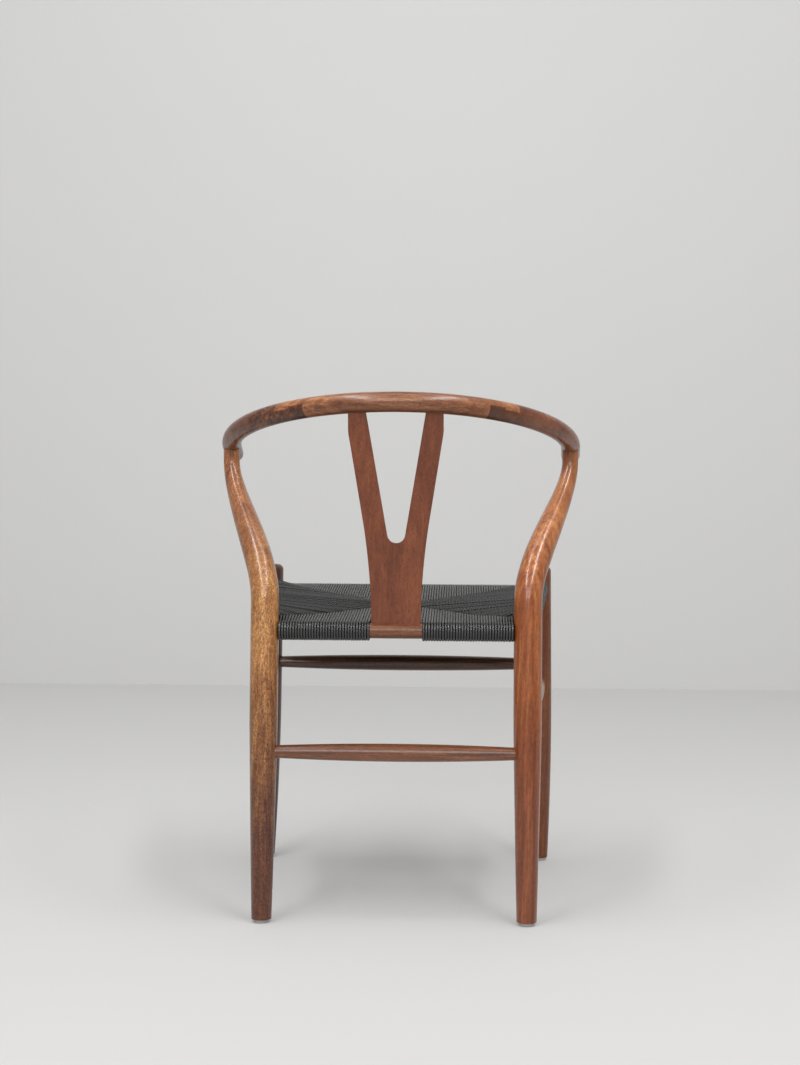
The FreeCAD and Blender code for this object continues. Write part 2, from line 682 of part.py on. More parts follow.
notch_level = SPLAT_NOTCH_SHARE + SPLAT_NOTCH_RISE_SHARE

splat_body = doc.addObject("PartDesign::Body", "splat_outline")
splat_sketch = outline(sketch_on(splat_body, "XZ_Plane", "splat_profile"), [
    ("-" + FOOT, BASE),
    (FOOT, BASE),
    (FOOT, up_splat(0), WAIST_R, -1),
    (BRANCH, up_splat(SPLAT_BRANCH_SHARE)),
    (SHOULDER, up_splat(SPLAT_SHOULDER_SHARE), BLEND_R, 1),
    (UPRIGHT, up_splat(SPLAT_UPRIGHT_SHARE)),
    (UPRIGHT, up_splat(1)),
    (GAP, up_splat(1)),
    (NOTCH, up_splat(notch_level), NOTCH_R, -1),
    ("-" + NOTCH, up_splat(notch_level)),
    ("-" + GAP, up_splat(1)),
    ("-" + UPRIGHT, up_splat(1)),
    ("-" + UPRIGHT, up_splat(SPLAT_UPRIGHT_SHARE), BLEND_R, 1),
    ("-" + SHOULDER, up_splat(SPLAT_SHOULDER_SHARE)),
    ("-" + BRANCH, up_splat(SPLAT_BRANCH_SHARE), WAIST_R, -1),
    ("-" + FOOT, up_splat(0)),
])
doc.recompute()
splat_pad = splat_body.newObject("PartDesign::Pad", "splat_depth")
splat_pad.Profile = splat_sketch
splat_pad.Midplane = True
bind(splat_pad, "Length", "Sizes.overall_depth * 2")
splat_board = gather("Part::MultiCommon", "splat_board", [splat_body, hollow_board("splat_hollow_board", 0)])
splat_copes = [bow_joint("splat_cope_left", prong_at, prong_half, size("cut_overrun")),
               bow_joint("splat_cope_right", -prong_at, prong_half, size("cut_overrun"))]
splat_coped = cut("splat_coped", splat_board, splat_copes)

lean = math.degrees(math.atan2(chord.y, chord.z)) + math.degrees(math.asin(chord.Length / 2 / hollow_r))
prong_turn = Rotation(Vector(1, 0, 0), -lean)


def prong_block(label, sign, spare):
    wide = size("splat_tenon_width") / 2 + spare
    thick = size("splat_tenon_thickness") / 2 + spare
    low = bow_r + size("splat_tenon_length")
    high = size("splat_tenon_length") - bow_r + spare
    block = doc.addObject("Part::Box", label)
    bind(block, "Length", "Sizes.splat_tenon_width + %r * Sizes.glue_gap" % (2 * spare / size("glue_gap")))
    bind(block, "Width", "Sizes.splat_tenon_thickness + %r * Sizes.glue_gap" % (2 * spare / size("glue_gap")))
    block.Height = low + high
    centre = Placement(Vector(sign * prong_x, prong_top.y, prong_top.z), prong_turn)
    block.Placement = centre.multiply(Placement(Vector(-wide, -thick, -low), Rotation()))
    return block


prongs = []
prong_mortises = []
for side, sign in (("left", 1), ("right", -1)):
    prongs.append(prong_block("splat_tenon_" + side, sign, 0))
    prong_mortises.append(prong_block("splat_mortise_" + side, sign, size("glue_gap")))
nodes["back_splat"] = gather("Part::MultiFuse", "back_splat", [splat_coped] + prongs)
nodes["top_rail_centre"] = cut("top_rail_centre", centre_blank, prong_mortises)

slot_box = doc.addObject("Part::Box", "splat_slot_box")
bind(slot_box, "Length", "Sizes.splat_foot_width + 2 * Sizes.glue_gap")
bind(slot_box, "Width", "2 * Sizes.seat_rail_width")
bind(slot_box, "Height", "Sizes.splat_slot_depth + Sizes.glue_gap + Sizes.cut_overrun")
slot_box.Placement = Placement(Vector(-foot_half - size("glue_gap"), rear_y - size("seat_rail_width"),
                                      splat_base - size("glue_gap")), Rotation())
slot_board = hollow_board("splat_slot_board", size("glue_gap"))
splat_slot = gather("Part::MultiCommon", "splat_slot", [slot_box, slot_board])

rail_blanks["rear_seat_rail"] = cut("rear_seat_rail", rail_blanks["rear_seat_rail"], [splat_slot])
nodes.update(rail_blanks)

# Woven seat: four flat wedges of cord that meet in the middle and wrap the rails.
# The wrap is a rounded band around each oval rail; the wedges share their diagonals.
cord = size("cord_diameter")
half_wide = size("seat_rail_width") / 2
seat_middle = Vector(0, front_y + size("seat_frame_depth") * size("front_leg_spread")
                     / (size("front_leg_spread") + size("rear_leg_spread")), 0)
middle_top = Vector(seat_middle.x, seat_middle.y, size("seat_centre_top"))
middle_low = middle_top - UP * size("seat_centre_thickness")


def rounded_nose(middle, inward, rise, tall, spare):
    # arc round the outer edge of a rail, from its top to its underside, at a distance from the wood
    hub = middle - inward * (half_wide - EDGE_SAG_SHARE * tall)
    reach = rise * (tall / 2 + spare)
    return Part.Arc(hub + reach, middle - inward * (half_wide + spare), hub - reach).toShape()


def seat_wedge(rail, tall, corners):
    here, there = rail_runs[rail]
    run = (there - here).normalize()
    inward = UP.cross(run).normalize()
    if inward.dot(seat_middle - Vector(here.x, here.y, 0)) < 0:
        inward = inward * -1
    rise = run.cross(inward).normalize()
    if rise.z < 0:
        rise = rise * -1
    apex = here + inward * (middle_top - here).dot(inward) + rise * (middle_top - here).dot(rise)
    pit = here + inward * (middle_low - here).dot(inward) + rise * (middle_low - here).dot(rise)
    nose = rounded_nose(here, inward, rise, tall, cord)
    edges = [nose, Part.makeLine(nose.valueAt(nose.LastParameter), pit), Part.makeLine(pit, apex),
             Part.makeLine(apex, nose.valueAt(nose.FirstParameter))]
    face = Part.Face(Part.Wire(edges))
    bar = face.extrude(there - here)
    far = [seat_middle + (corner - seat_middle) * WEDGE_REACH_SHARE for corner in corners]
    plan = Part.Face(Part.makePolygon([seat_middle, far[0], far[1], seat_middle]))
    wedge = bar.common(plan.extrude(UP * size("overall_height")))
    outer = rounded_nose(here, inward, rise, tall, size("seat_gap"))
    inner = rounded_nose(here, inward * -1, rise * -1, tall, size("seat_gap"))
    core = [outer, Part.makeLine(outer.valueAt(outer.LastParameter), inner.valueAt(inner.FirstParameter)),
            inner, Part.makeLine(inner.valueAt(inner.LastParameter), outer.valueAt(outer.FirstParameter))]
    tunnel = Part.Face(Part.Wire(core)).extrude(there - here)
    return wedge, tunnel


front_left, front_right = [front_axis(sign, size("front_rail_level")) for sign in (1, -1)]
rear_left, rear_right = [rear_axis(sign, size("rear_rail_level")) for sign in (1, -1)]
for corner in (front_left, front_right, rear_left, rear_right):
    corner.z = 0
wedges = []
tunnels = []
for rail, tall, corners in (
    ("front_seat_rail", "cross_rail_height", (front_right, front_left)),
    ("rear_seat_rail", "cross_rail_height", (rear_left, rear_right)),
    ("left_seat_rail", "side_rail_height", (front_left, rear_left)),
    ("right_seat_rail", "side_rail_height", (rear_right, front_right)),
):
    wedge, tunnel = seat_wedge(rail, size(tall), corners)
    wedges.append(wedge)
    tunnels.append(tunnel)
seat_form = doc.addObject("Part::Feature", "seat_form")
seat_form.Shape = wedges[0].fuse(wedges[1:]).removeSplitter()
rail_tunnels = doc.addObject("Part::Feature", "rail_tunnels")
rail_tunnels.Shape = Part.makeCompound(tunnels)

leg_clearance = []
for side, sign in (("left", 1), ("right", -1)):
    rear_room = "Sizes.rear_leg_diameter / 2 + Sizes.seat_gap"
    front_room = "Sizes.front_leg_diameter / 2 + Sizes.seat_gap"
    leg_clearance.append(cylinder("rear_leg_clearance_" + side, rear_room,
                                  rear_axis(sign, rear_level), rear_axis(sign, size("overall_height"))))
    leg_clearance.append(cylinder("front_leg_clearance_" + side, front_room,
                                  front_axis(sign, front_level), front_axis(sign, size("overall_height"))))
splat_bay = doc.addObject("Part::Box", "splat_bay")
bind(splat_bay, "Length", "Sizes.splat_foot_width + 2 * Sizes.seat_gap")
bind(splat_bay, "Width", "2 * Sizes.seat_rail_width")
bind(splat_bay, "Height", "Sizes.overall_height")
bay_corner = Vector(-foot_half - size("seat_gap"), rear_y - half_wide - cord, 0)
splat_bay.Placement = Placement(bay_corner, Rotation())
nodes["woven_seat"] = cut("woven_seat", cut("seat_on_rails", seat_form, [rail_tunnels]),
                          leg_clearance + [splat_bay])

doc.recompute()

os.makedirs("parts", exist_ok=True)
for obj in doc.Objects:
    if "Invalid" in obj.State or "Error" in obj.State:
        raise RuntimeError("%s did not build: %s" % (obj.Label, obj.State))
for label, obj in nodes.items():
    obj.Label = label
    shape = obj.Shape
    if shape.isNull() or not shape.isValid():
        raise RuntimeError("%s has no valid shape" % label)
    shape.exportStep("parts/%s.step" % label)
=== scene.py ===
import math
import random
import bpy
from mathutils import Matrix, Vector


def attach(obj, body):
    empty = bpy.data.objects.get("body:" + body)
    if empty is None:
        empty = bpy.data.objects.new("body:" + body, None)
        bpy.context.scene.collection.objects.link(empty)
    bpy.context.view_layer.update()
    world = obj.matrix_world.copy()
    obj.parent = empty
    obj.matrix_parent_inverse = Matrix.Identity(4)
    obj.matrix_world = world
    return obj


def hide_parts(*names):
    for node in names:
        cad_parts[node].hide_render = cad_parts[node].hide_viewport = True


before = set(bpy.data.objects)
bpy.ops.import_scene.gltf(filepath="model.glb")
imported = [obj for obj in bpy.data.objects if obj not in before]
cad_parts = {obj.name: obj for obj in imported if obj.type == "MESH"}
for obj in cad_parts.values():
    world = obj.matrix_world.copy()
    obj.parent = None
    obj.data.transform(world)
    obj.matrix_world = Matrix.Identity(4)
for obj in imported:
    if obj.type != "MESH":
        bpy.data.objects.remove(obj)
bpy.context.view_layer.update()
bpy.ops.object.select_all(action="DESELECT")


# Front legs: two round posts, each turned from one length of hardwood, slimmer at the foot and
# rounded at the top. Rails and stretchers are glued into holes in them; an oil finish leaves a satin gloss.
MM = 0.001
UP = Vector((0, 0, 1))
FRONT_Y = -235.8
FRONT_FOOT_HALF_SPREAD = 228.5
FRONT_TOP_HALF_SPREAD = 222.75
FRONT_LEG_TOP = 491.5
FRONT_LEG_R = 20.2
FRONT_FOOT_R = 12.5
FRONT_TAPER = 0.58
FRONT_TAPER_STEPS = 16
FRONT_POST_STEPS = 5
FRONT_TOP_ROUND = 9.0
FRONT_TOP_STEPS = 8
GLIDE_TOP = 5.0
RED = ((0.165, 0.036, 0.007, 1), (0.27, 0.066, 0.013, 1), (0.38, 0.118, 0.03, 1))
GOLD = ((0.19, 0.062, 0.016, 1), (0.35, 0.140, 0.042, 1), (0.52, 0.255, 0.085, 1))
BROWN = ((0.028, 0.010, 0.005, 1), (0.075, 0.029, 0.014, 1), (0.15, 0.066, 0.034, 1))


def front_post_at(sign, level):
    """middle of a front leg at a height above the floor"""
    lean = FRONT_TOP_HALF_SPREAD - FRONT_FOOT_HALF_SPREAD
    across = FRONT_FOOT_HALF_SPREAD + lean * level / FRONT_LEG_TOP
    return Vector((sign * across, FRONT_Y, level))


def pick(piece):
    bpy.ops.object.select_all(action="DESELECT")
    piece.select_set(True)
    bpy.context.view_layer.objects.active = piece


def face_outwards(piece, merge=False):
    """recalculates a closed piece's normals, after its doubles are merged where it has some"""
    pick(piece)
    bpy.ops.object.mode_set(mode="EDIT")
    bpy.ops.mesh.select_all(action="SELECT")
    if merge:
        bpy.ops.mesh.remove_doubles(threshold=0.00001)
    bpy.ops.mesh.normals_make_consistent(inside=False)
    bpy.ops.object.mode_set(mode="OBJECT")


def turned_bar(name, stations, sides=72):
    """a round bar as it comes off the lathe, upright; stations are (height, radius)"""
    bpy.ops.object.select_all(action="DESELECT")
    low, thin = stations[0]
    bpy.ops.mesh.primitive_circle_add(vertices=sides, radius=thin * MM, fill_type="NGON", location=(0, 0, 0))
    bar = bpy.context.object
    bar.name = name
    bpy.ops.object.mode_set(mode="EDIT")
    bpy.ops.mesh.select_all(action="SELECT")
    bpy.ops.transform.translate(value=(0, 0, low * MM))
    for high, thick in stations[1:]:
        bpy.ops.mesh.extrude_region_move(TRANSFORM_OT_translate={"value": (0, 0, (high - low) * MM)})
        if thick != thin:
            bpy.ops.transform.resize(value=(thick / thin, thick / thin, 1), center_override=(0, 0, high * MM))
        low, thin = high, thick
    bpy.ops.object.mode_set(mode="OBJECT")
    face_outwards(bar)
    return bar


def copy_of(piece, name):
    pick(piece)
    bpy.ops.object.duplicate()
    twin = bpy.context.object
    twin.name = name
    return twin


def settle(piece, place):
    """puts a finished piece where it belongs, with the place in its mesh"""
    pick(piece)
    piece.matrix_world = place
    bpy.ops.object.transform_apply(location=True, rotation=True, scale=True)


def lay_along(piece, start, end):
    """lays an upright bar from one point to another"""
    run = end - start
    settle(piece, Matrix.Translation(start * MM) @ run.to_track_quat("Z", "Y").to_matrix().to_4x4())


def blank_material(name):
    """a new material, its nodes and its shader"""
    material = bpy.data.materials.new(name)
    material.use_nodes = True
    return material, material.node_tree, material.node_tree.nodes["Principled BSDF"]


def sum_of(tree, kind, one, two=0.0):
    """a sum in a material's nodes; one and two are plain numbers or what other nodes give"""
    work = tree.nodes.new("ShaderNodeMath")
    work.operation = kind
    for socket, value in zip(work.inputs, (one, two)):
        if isinstance(value, (int, float)):
            socket.default_value = value
        else:
            tree.links.new(value, socket)
    return work.outputs["Value"]


def between(tree, value, low, high, to_low=0.0, to_high=1.0, ease="LINEAR"):
    """carries a value from the limits low and high over to another pair of limits"""
    span = tree.nodes.new("ShaderNodeMapRange")
    span.interpolation_type = ease
    span.inputs["From Min"].default_value = low
    span.inputs["From Max"].default_value = high
    span.inputs["To Min"].default_value = to_low
    span.inputs["To Max"].default_value = to_high
    tree.links.new(value, span.inputs["Value"])
    return span.outputs["Result"]


def multiply(tree, colour, factor, by):
    """a colour times a tint or a shade, as far as the factor says"""
    deepen = tree.nodes.new("ShaderNodeMix")
    deepen.data_type = "RGBA"
    deepen.blend_type = "MULTIPLY"
    for socket, value in ((deepen.inputs["Factor"], factor), (deepen.inputs["B"], by)):
        if isinstance(value, (float, tuple)):
            socket.default_value = value
        else:
            tree.links.new(value, socket)
    tree.links.new(colour, deepen.inputs["A"])
    return deepen.outputs["Result"]


def colours_by(tree, value, stops):
    """a colour picked by a value; stops are (value, colour), from low to high"""
    ramp = tree.nodes.new("ShaderNodeValToRGB")
    first, last = ramp.color_ramp.elements
    first.position, first.color = stops[0]
    last.position, last.color = stops[-1]
    for place, colour in stops[1:-1]:
        ramp.color_ramp.elements.new(place).color = colour
    tree.links.new(value, ramp.inputs["Fac"])
    return ramp.outputs["Color"]


def oiled_wood(name, colours, grain=(0, 0, 0), seed=(0, 0, 0), fleck=0.3, pore=0.4, gloss=0.28, coat=0.14,
               stains_and_highlights=()):
    """hardwood whose grain runs along its third axis, with broad bands, long streaks, pores and wavy flecks;
    colours are dark, middle and light, and each stain or painted highlight is (axis, where it is full, where
    it ends, tint)"""
    wood, tree, shader = blank_material(name)
    shader.inputs["Specular IOR Level"].default_value = 0.44
    shader.inputs["Coat Weight"].default_value = coat
    shader.inputs["Coat Roughness"].default_value = 0.12
    spot = tree.nodes.new("ShaderNodeTexCoord")
    lie = tree.nodes.new("ShaderNodeMapping")
    lie.inputs["Rotation"].default_value = grain
    lie.inputs["Location"].default_value = seed
    tree.links.new(spot.outputs["Object"], lie.inputs["Vector"])

    def noise(along, scale, detail, distortion=0.0):
        pull = tree.nodes.new("ShaderNodeMapping")
        pull.inputs["Scale"].default_value = (1, 1, along)
        tree.links.new(lie.outputs["Vector"], pull.inputs["Vector"])
        grainy = tree.nodes.new("ShaderNodeTexNoise")
        grainy.inputs["Scale"].default_value = scale
        grainy.inputs["Detail"].default_value = detail
        grainy.inputs["Distortion"].default_value = distortion
        tree.links.new(pull.outputs["Vector"], grainy.inputs["Vector"])
        return grainy.outputs["Fac"]

    bands = noise(along=0.06, scale=30, detail=3, distortion=0.8)
    streaks = noise(along=0.035, scale=170, detail=4, distortion=0.4)
    fibres = noise(along=0.02, scale=800, detail=3)
    flecks = noise(along=0.45, scale=500, detail=2, distortion=1.8)
    pores = between(tree, noise(along=0.09, scale=1000, detail=2, distortion=0.3), 0.56, 0.68)
    tone = sum_of(tree, "ADD", between(tree, bands, 0.3, 0.7, to_high=0.38),
                  between(tree, streaks, 0.28, 0.72, to_high=0.42))
    tone = sum_of(tree, "ADD", tone, between(tree, fibres, 0.3, 0.7, to_high=0.2))
    dark, middle, light = colours
    colour = colours_by(tree, tone, ((0.22, dark), (0.50, middle), (0.80, light)))
    shade = sum_of(tree, "SUBTRACT", 1.0, sum_of(tree, "MULTIPLY", pores, pore))
    shade = sum_of(tree, "MULTIPLY", shade, between(tree, flecks, 0.42, 0.60, 1 - fleck, 1 + fleck * 0.8))
    colour = multiply(tree, colour, 1.0, shade)
    for axis, full, ends, tint in stains_and_highlights:
        where = tree.nodes.new("ShaderNodeSeparateXYZ")
        tree.links.new(spot.outputs["Object"], where.inputs["Vector"])
        ragged = sum_of(tree, "ADD", where.outputs[axis], between(tree, streaks, 0.3, 0.7, -0.045, 0.045))
        colour = multiply(tree, colour, between(tree, ragged, full, ends, 1.0, 0.0), tint)
    tree.links.new(colour, shader.inputs["Base Color"])
    tree.links.new(between(tree, flecks, 0.3, 0.7, gloss + 0.03, gloss - 0.02), shader.inputs["Roughness"])
    relief = tree.nodes.new("ShaderNodeBump")
    relief.inputs["Strength"].default_value = 0.16
    relief.inputs["Distance"].default_value = 0.0004
    sunk_pores = sum_of(tree, "MULTIPLY", pores, 0.8)
    tree.links.new(sum_of(tree, "SUBTRACT", fibres, sunk_pores), relief.inputs["Height"])
    tree.links.new(relief.outputs["Normal"], shader.inputs["Normal"])
    return wood


def dress(piece, node, material, smooth_under=35):
    """gives a piece its finish and ties it to the body and to the solid that it stands for"""
    pick(piece)
    piece.data.materials.clear()
    piece.data.materials.append(material)
    bpy.ops.object.shade_smooth_by_angle(angle=math.radians(smooth_under))
    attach(piece, "root")
    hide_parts(node)
    bpy.ops.object.select_all(action="DESELECT")


front_length = (front_post_at(1, FRONT_LEG_TOP) - front_post_at(1, GLIDE_TOP)).length
front_stations = []
for step in range(FRONT_TAPER_STEPS + 1):
    share = step / FRONT_TAPER_STEPS
    front_stations.append((front_length * FRONT_TAPER * share,
                           FRONT_LEG_R - (FRONT_LEG_R - FRONT_FOOT_R) * (1 - share) ** 2))
plain_run = front_length * (1 - FRONT_TAPER) - FRONT_TOP_ROUND
for step in range(1, FRONT_POST_STEPS + 1):
    front_stations.append((front_length * FRONT_TAPER + plain_run * step / FRONT_POST_STEPS, FRONT_LEG_R))
for step in range(1, FRONT_TOP_STEPS + 1):
    turn = math.radians(90 * step / FRONT_TOP_STEPS)
    front_stations.append((front_length - FRONT_TOP_ROUND * (1 - math.sin(turn)),
                           FRONT_LEG_R - FRONT_TOP_ROUND * (1 - math.cos(turn))))
front_post_left = turned_bar("front_post_left", front_stations)
front_post_right = copy_of(front_post_left, "front_post_right")
lay_along(front_post_left, front_post_at(1, GLIDE_TOP), front_post_at(1, FRONT_LEG_TOP))
lay_along(front_post_right, front_post_at(-1, GLIDE_TOP), front_post_at(-1, FRONT_LEG_TOP))
dress(front_post_left, "front_leg_left",
      oiled_wood("front_post_left_wood", BROWN, (0.02, -0.015, 0.4), (0.31, 0.08, 0.2)))
dress(front_post_right, "front_leg_right",
      oiled_wood("front_post_right_wood", RED, (-0.02, 0.02, 1.1), (0.12, 0.45, 0.6),
                 stains_and_highlights=[("Z", 0.6, 0.8, (0.62, 0.66, 0.75, 1))]))


# Rear legs: round posts that taper to the foot and, above the seat, sweep outward and forward to a slim
# neck under the arm. Each is shaped from one thick board, so the grain runs straight up through the bend.
REAR_Y = 176.2
REAR_HALF_SPREAD = 190.25
REAR_RAKE = 33.0
REAR_RAIL_LEVEL = 417.5
REAR_LEG_R = 20.5
REAR_FOOT_R = 14.4
REAR_NECK_R = 12.2
REAR_TAPER_END = 0.62
REAR_TAPER_STEPS = 16
REAR_POST_STEPS = 8
REAR_SWELL = 0.3
NECK_LENGTH = 12.0
LEG_INTO_ARM = 5
LEG_JOINT_SETBACK = 31.0
BEND_START = 0.181
BEND_ARM = 0.255
NECK_ARM = 0.215
BEND_TAPER_START = 0.28
BEND_STEPS = 36
FOOT_HANDLE = 40
SHANK_HANDLE = 150
JOINT_HANDLE = 6
BOW_R = 14.5
BOW_SLOPE = math.radians(14)
BOW_BACK = Vector((0, 241.5, 745.5))
ARM_FLARE_DEGREES = 3
ARM_FLARE = math.radians(ARM_FLARE_DEGREES)
ARM_RUN = 50.0
ARM_TIP_X = 276.5
ARM_TIP_HALF_WIDE = 14.3
BOW_RADIUS = ((ARM_TIP_X - ARM_TIP_HALF_WIDE * math.cos(ARM_FLARE) - ARM_RUN * math.sin(ARM_FLARE))
              / math.cos(ARM_FLARE))
BOW_MIDDLE = BOW_BACK - Vector((0, math.cos(BOW_SLOPE), math.sin(BOW_SLOPE))) * BOW_RADIUS
BOW_PLACE = Matrix.Translation(BOW_MIDDLE * MM) @ Matrix.Rotation(BOW_SLOPE, 4, "X")


def rear_post_at(sign, level):
    """middle of a rear leg's straight part at a height above the floor"""
    return Vector((sign * REAR_HALF_SPREAD, REAR_Y + REAR_RAKE * (1 - level / REAR_RAIL_LEVEL), level))


def mirrored(piece, name):
    """the same piece for the other side of the chair"""
    twin = copy_of(piece, name)
    twin.scale.x = -1
    bpy.ops.object.transform_apply(location=True, rotation=True, scale=True)
    face_outwards(twin)
    return twin


joint_out = math.sqrt(BOW_RADIUS ** 2 - LEG_JOINT_SETBACK ** 2)
leg_joint = BOW_PLACE @ (Vector((joint_out, LEG_JOINT_SETBACK, 0)) * MM) / MM
neck = leg_joint - UP * (BOW_R + NECK_LENGTH)
sole = rear_post_at(1, 0)
bend_foot = rear_post_at(1, REAR_RAIL_LEVEL + (neck.z - REAR_RAIL_LEVEL) * BEND_START)
leaning = (bend_foot - sole).normalized()
bend_lead = bend_foot + leaning * ((neck - bend_foot).length * BEND_ARM)
neck_lead = neck - UP * ((neck - bend_foot).length * NECK_ARM)
leg_line = bpy.data.curves.new("rear_leg_line", "CURVE")
leg_line.dimensions = "3D"
leg_line.resolution_u = 64
leg_spline = leg_line.splines.new("BEZIER")
leg_spline.bezier_points.add(3)
for knot, (spot, before, after) in zip(leg_spline.bezier_points, (
    (sole, sole - leaning * FOOT_HANDLE, sole + leaning * SHANK_HANDLE),
    (bend_foot, bend_foot - leaning * SHANK_HANDLE, bend_lead),
    (neck, neck_lead, neck + UP * JOINT_HANDLE),
    (leg_joint, leg_joint - UP * JOINT_HANDLE, leg_joint + UP * JOINT_HANDLE),
)):
    knot.handle_left_type = "FREE"
    knot.handle_right_type = "FREE"
    knot.co = spot * MM
    knot.handle_left = before * MM
    knot.handle_right = after * MM
leg_path = bpy.data.objects.new("rear_leg_line", leg_line)
bpy.context.collection.objects.link(leg_path)

shank = (bend_foot - sole).length
rear_stations = [(0, REAR_FOOT_R)]
for step in range(1, REAR_TAPER_STEPS + 1):
    share = step / REAR_TAPER_STEPS
    swell = REAR_SWELL * 4 * share * (1 - share)
    rear_stations.append((shank * REAR_TAPER_END * share,
                          REAR_FOOT_R + (REAR_LEG_R - REAR_FOOT_R) * share + swell))
for step in range(1, REAR_POST_STEPS + 1):
    share = REAR_TAPER_END + (1 - REAR_TAPER_END) * step / REAR_POST_STEPS
    rear_stations.append((shank * share, REAR_LEG_R))
along = shank
behind = bend_foot
for step in range(1, BEND_STEPS + 1):
    share = step / BEND_STEPS
    rest = 1 - share
    here = (bend_foot * rest ** 3 + bend_lead * (3 * rest ** 2 * share)
            + neck_lead * (3 * rest * share ** 2) + neck * share ** 3)
    along += (here - behind).length
    behind = here
    fall = min(max((share - BEND_TAPER_START) / (1 - BEND_TAPER_START), 0), 1)
    fall = fall * fall * (3 - 2 * fall)
    rear_stations.append((along, REAR_LEG_R + (REAR_NECK_R - REAR_LEG_R) * fall))
for past_bend in (NECK_LENGTH * 0.5, NECK_LENGTH, NECK_LENGTH + LEG_INTO_ARM):
    rear_stations.append((along + past_bend, REAR_NECK_R))
rear_post_left = turned_bar("rear_post_left", rear_stations)
sweep = rear_post_left.modifiers.new("sweep", "CURVE")
sweep.object = leg_path
sweep.deform_axis = "POS_Z"
bpy.ops.object.modifier_apply(modifier=sweep.name)
bpy.data.objects.remove(leg_path)
bpy.ops.object.mode_set(mode="EDIT")
bpy.ops.mesh.select_all(action="SELECT")
bpy.ops.mesh.bisect(plane_co=(0, 0, GLIDE_TOP * MM), plane_no=(0, 0, 1), use_fill=True, clear_inner=True)
bpy.ops.object.mode_set(mode="OBJECT")
face_outwards(rear_post_left)
rear_post_right = mirrored(rear_post_left, "rear_post_right")
dress(rear_post_left, "rear_leg_left",
      oiled_wood("rear_post_left_wood", GOLD, (0.03, 0.02, 0.3), (0.05, 0.23, 0.1),
                 fleck=0.5, gloss=0.3, coat=0.42,
                 stains_and_highlights=[("Z", 0.12, 0.40, (0.26, 0.15, 0.12, 1)), ("Z", 0.62, 0.50, (0.80, 0.66, 0.70, 1))]))
# The right leg's lift between 0.47 and 0.57 m up, strongest in blue, is a painted highlight on the bend over
# a more golden wood.
dress(rear_post_right, "rear_leg_right",
      oiled_wood("rear_post_right_wood", RED, (-0.025, 0.03, 0.9), (0.09, 0.02, 0.4),
                 fleck=0.26, gloss=0.28, coat=0.46,
                 stains_and_highlights=[("Z", 0.02, 0.34, (0.68, 0.62, 0.62, 1)), ("Z", 0.57, 0.47, (1.45, 1.95, 2.5, 1)),
                         ("Z", 0.67, 0.60, (0.62, 0.58, 0.58, 1))]))


# Stretchers: four round bars turned to a gentle swell in the middle, from darker boards than the legs.
# Their plain ends are glued in round holes of the legs.
RUST = ((0.085, 0.028, 0.011, 1), (0.165, 0.055, 0.022, 1), (0.27, 0.105, 0.048, 1))
STRETCHER_END_R = 9.3
CROSS_STRETCHER_R = 13.0
SIDE_STRETCHER_R = 14.5
STRETCHER_INSET = 6.0
STRETCHER_TAIL = 14.5
STRETCHER_STEPS = 32
FRONT_STRETCHER_LEVEL = 328
REAR_STRETCHER_LEVEL = 243
SIDE_STRETCHER_LEVEL = 300
ALONG_X = (0, -math.pi / 2, 0)
ALONG_Y = (math.pi / 2, 0, 0)


def stretcher(name, here, there, middle_r):
    """a turned bar between two points on the middle lines of two legs"""
    step = (there - here).normalized()
    start = here + step * STRETCHER_INSET
    end = there - step * STRETCHER_INSET
    span = (end - start).length - 2 * STRETCHER_TAIL
    stations = [(0, STRETCHER_END_R)]
    for notch in range(STRETCHER_STEPS + 1):
        share = notch / STRETCHER_STEPS
        swell = (middle_r - STRETCHER_END_R) * (1 - (2 * share - 1) ** 2)
        stations.append((STRETCHER_TAIL + span * share, STRETCHER_END_R + swell))
    stations.append((STRETCHER_TAIL + span + STRETCHER_TAIL, STRETCHER_END_R))
    bar = turned_bar(name, stations, sides=56)
    lay_along(bar, start, end)
    return bar


front_cross_bar = stretcher("front_cross_bar", front_post_at(-1, FRONT_STRETCHER_LEVEL),
                            front_post_at(1, FRONT_STRETCHER_LEVEL), CROSS_STRETCHER_R)
dress(front_cross_bar, "front_stretcher",
      oiled_wood("front_cross_bar_wood", BROWN, ALONG_X, (0.7, 0.2, 0.3), gloss=0.26, coat=0.4))
rear_cross_bar = stretcher("rear_cross_bar", rear_post_at(-1, REAR_STRETCHER_LEVEL),
                           rear_post_at(1, REAR_STRETCHER_LEVEL), CROSS_STRETCHER_R)
dress(rear_cross_bar, "rear_stretcher",
      oiled_wood("rear_cross_bar_wood", RUST, ALONG_X, (0.25, 0.6, 0.9), gloss=0.26, coat=0.4))
left_side_bar = stretcher("left_side_bar", front_post_at(1, SIDE_STRETCHER_LEVEL),
                          rear_post_at(1, SIDE_STRETCHER_LEVEL), SIDE_STRETCHER_R)
dress(left_side_bar, "left_side_stretcher",
      oiled_wood("left_side_bar_wood", BROWN, ALONG_Y, (0.15, 0.9, 0.5)))
right_side_bar = stretcher("right_side_bar", front_post_at(-1, SIDE_STRETCHER_LEVEL),
                           rear_post_at(-1, SIDE_STRETCHER_LEVEL), SIDE_STRETCHER_R)
dress(right_side_bar, "right_side_stretcher",
      oiled_wood("right_side_bar_wood", RUST, ALONG_Y, (0.4, 0.35, 0.75)))


# Seat rails: four straight bars with rounded edges, nearly hidden by the cord that is wound on them.
# Each end is cut to a flat tenon that is glued in a leg.
RAIL_WIDE = 26.0
CROSS_RAIL_TALL = 21.0
SIDE_RAIL_TALL = 24.0
RAIL_ROUND = 0.46
RAIL_SHOULDER = 20.8
RAIL_TENON_END = 7.5
RAIL_TENON_WIDE = 10
RAIL_TENON_TALL = 14
FRONT_RAIL_LEVEL = 445.5
SIDE_RAIL_FRONT_LEVEL = 456.5
SIDE_RAIL_REAR_LEVEL = 428.5


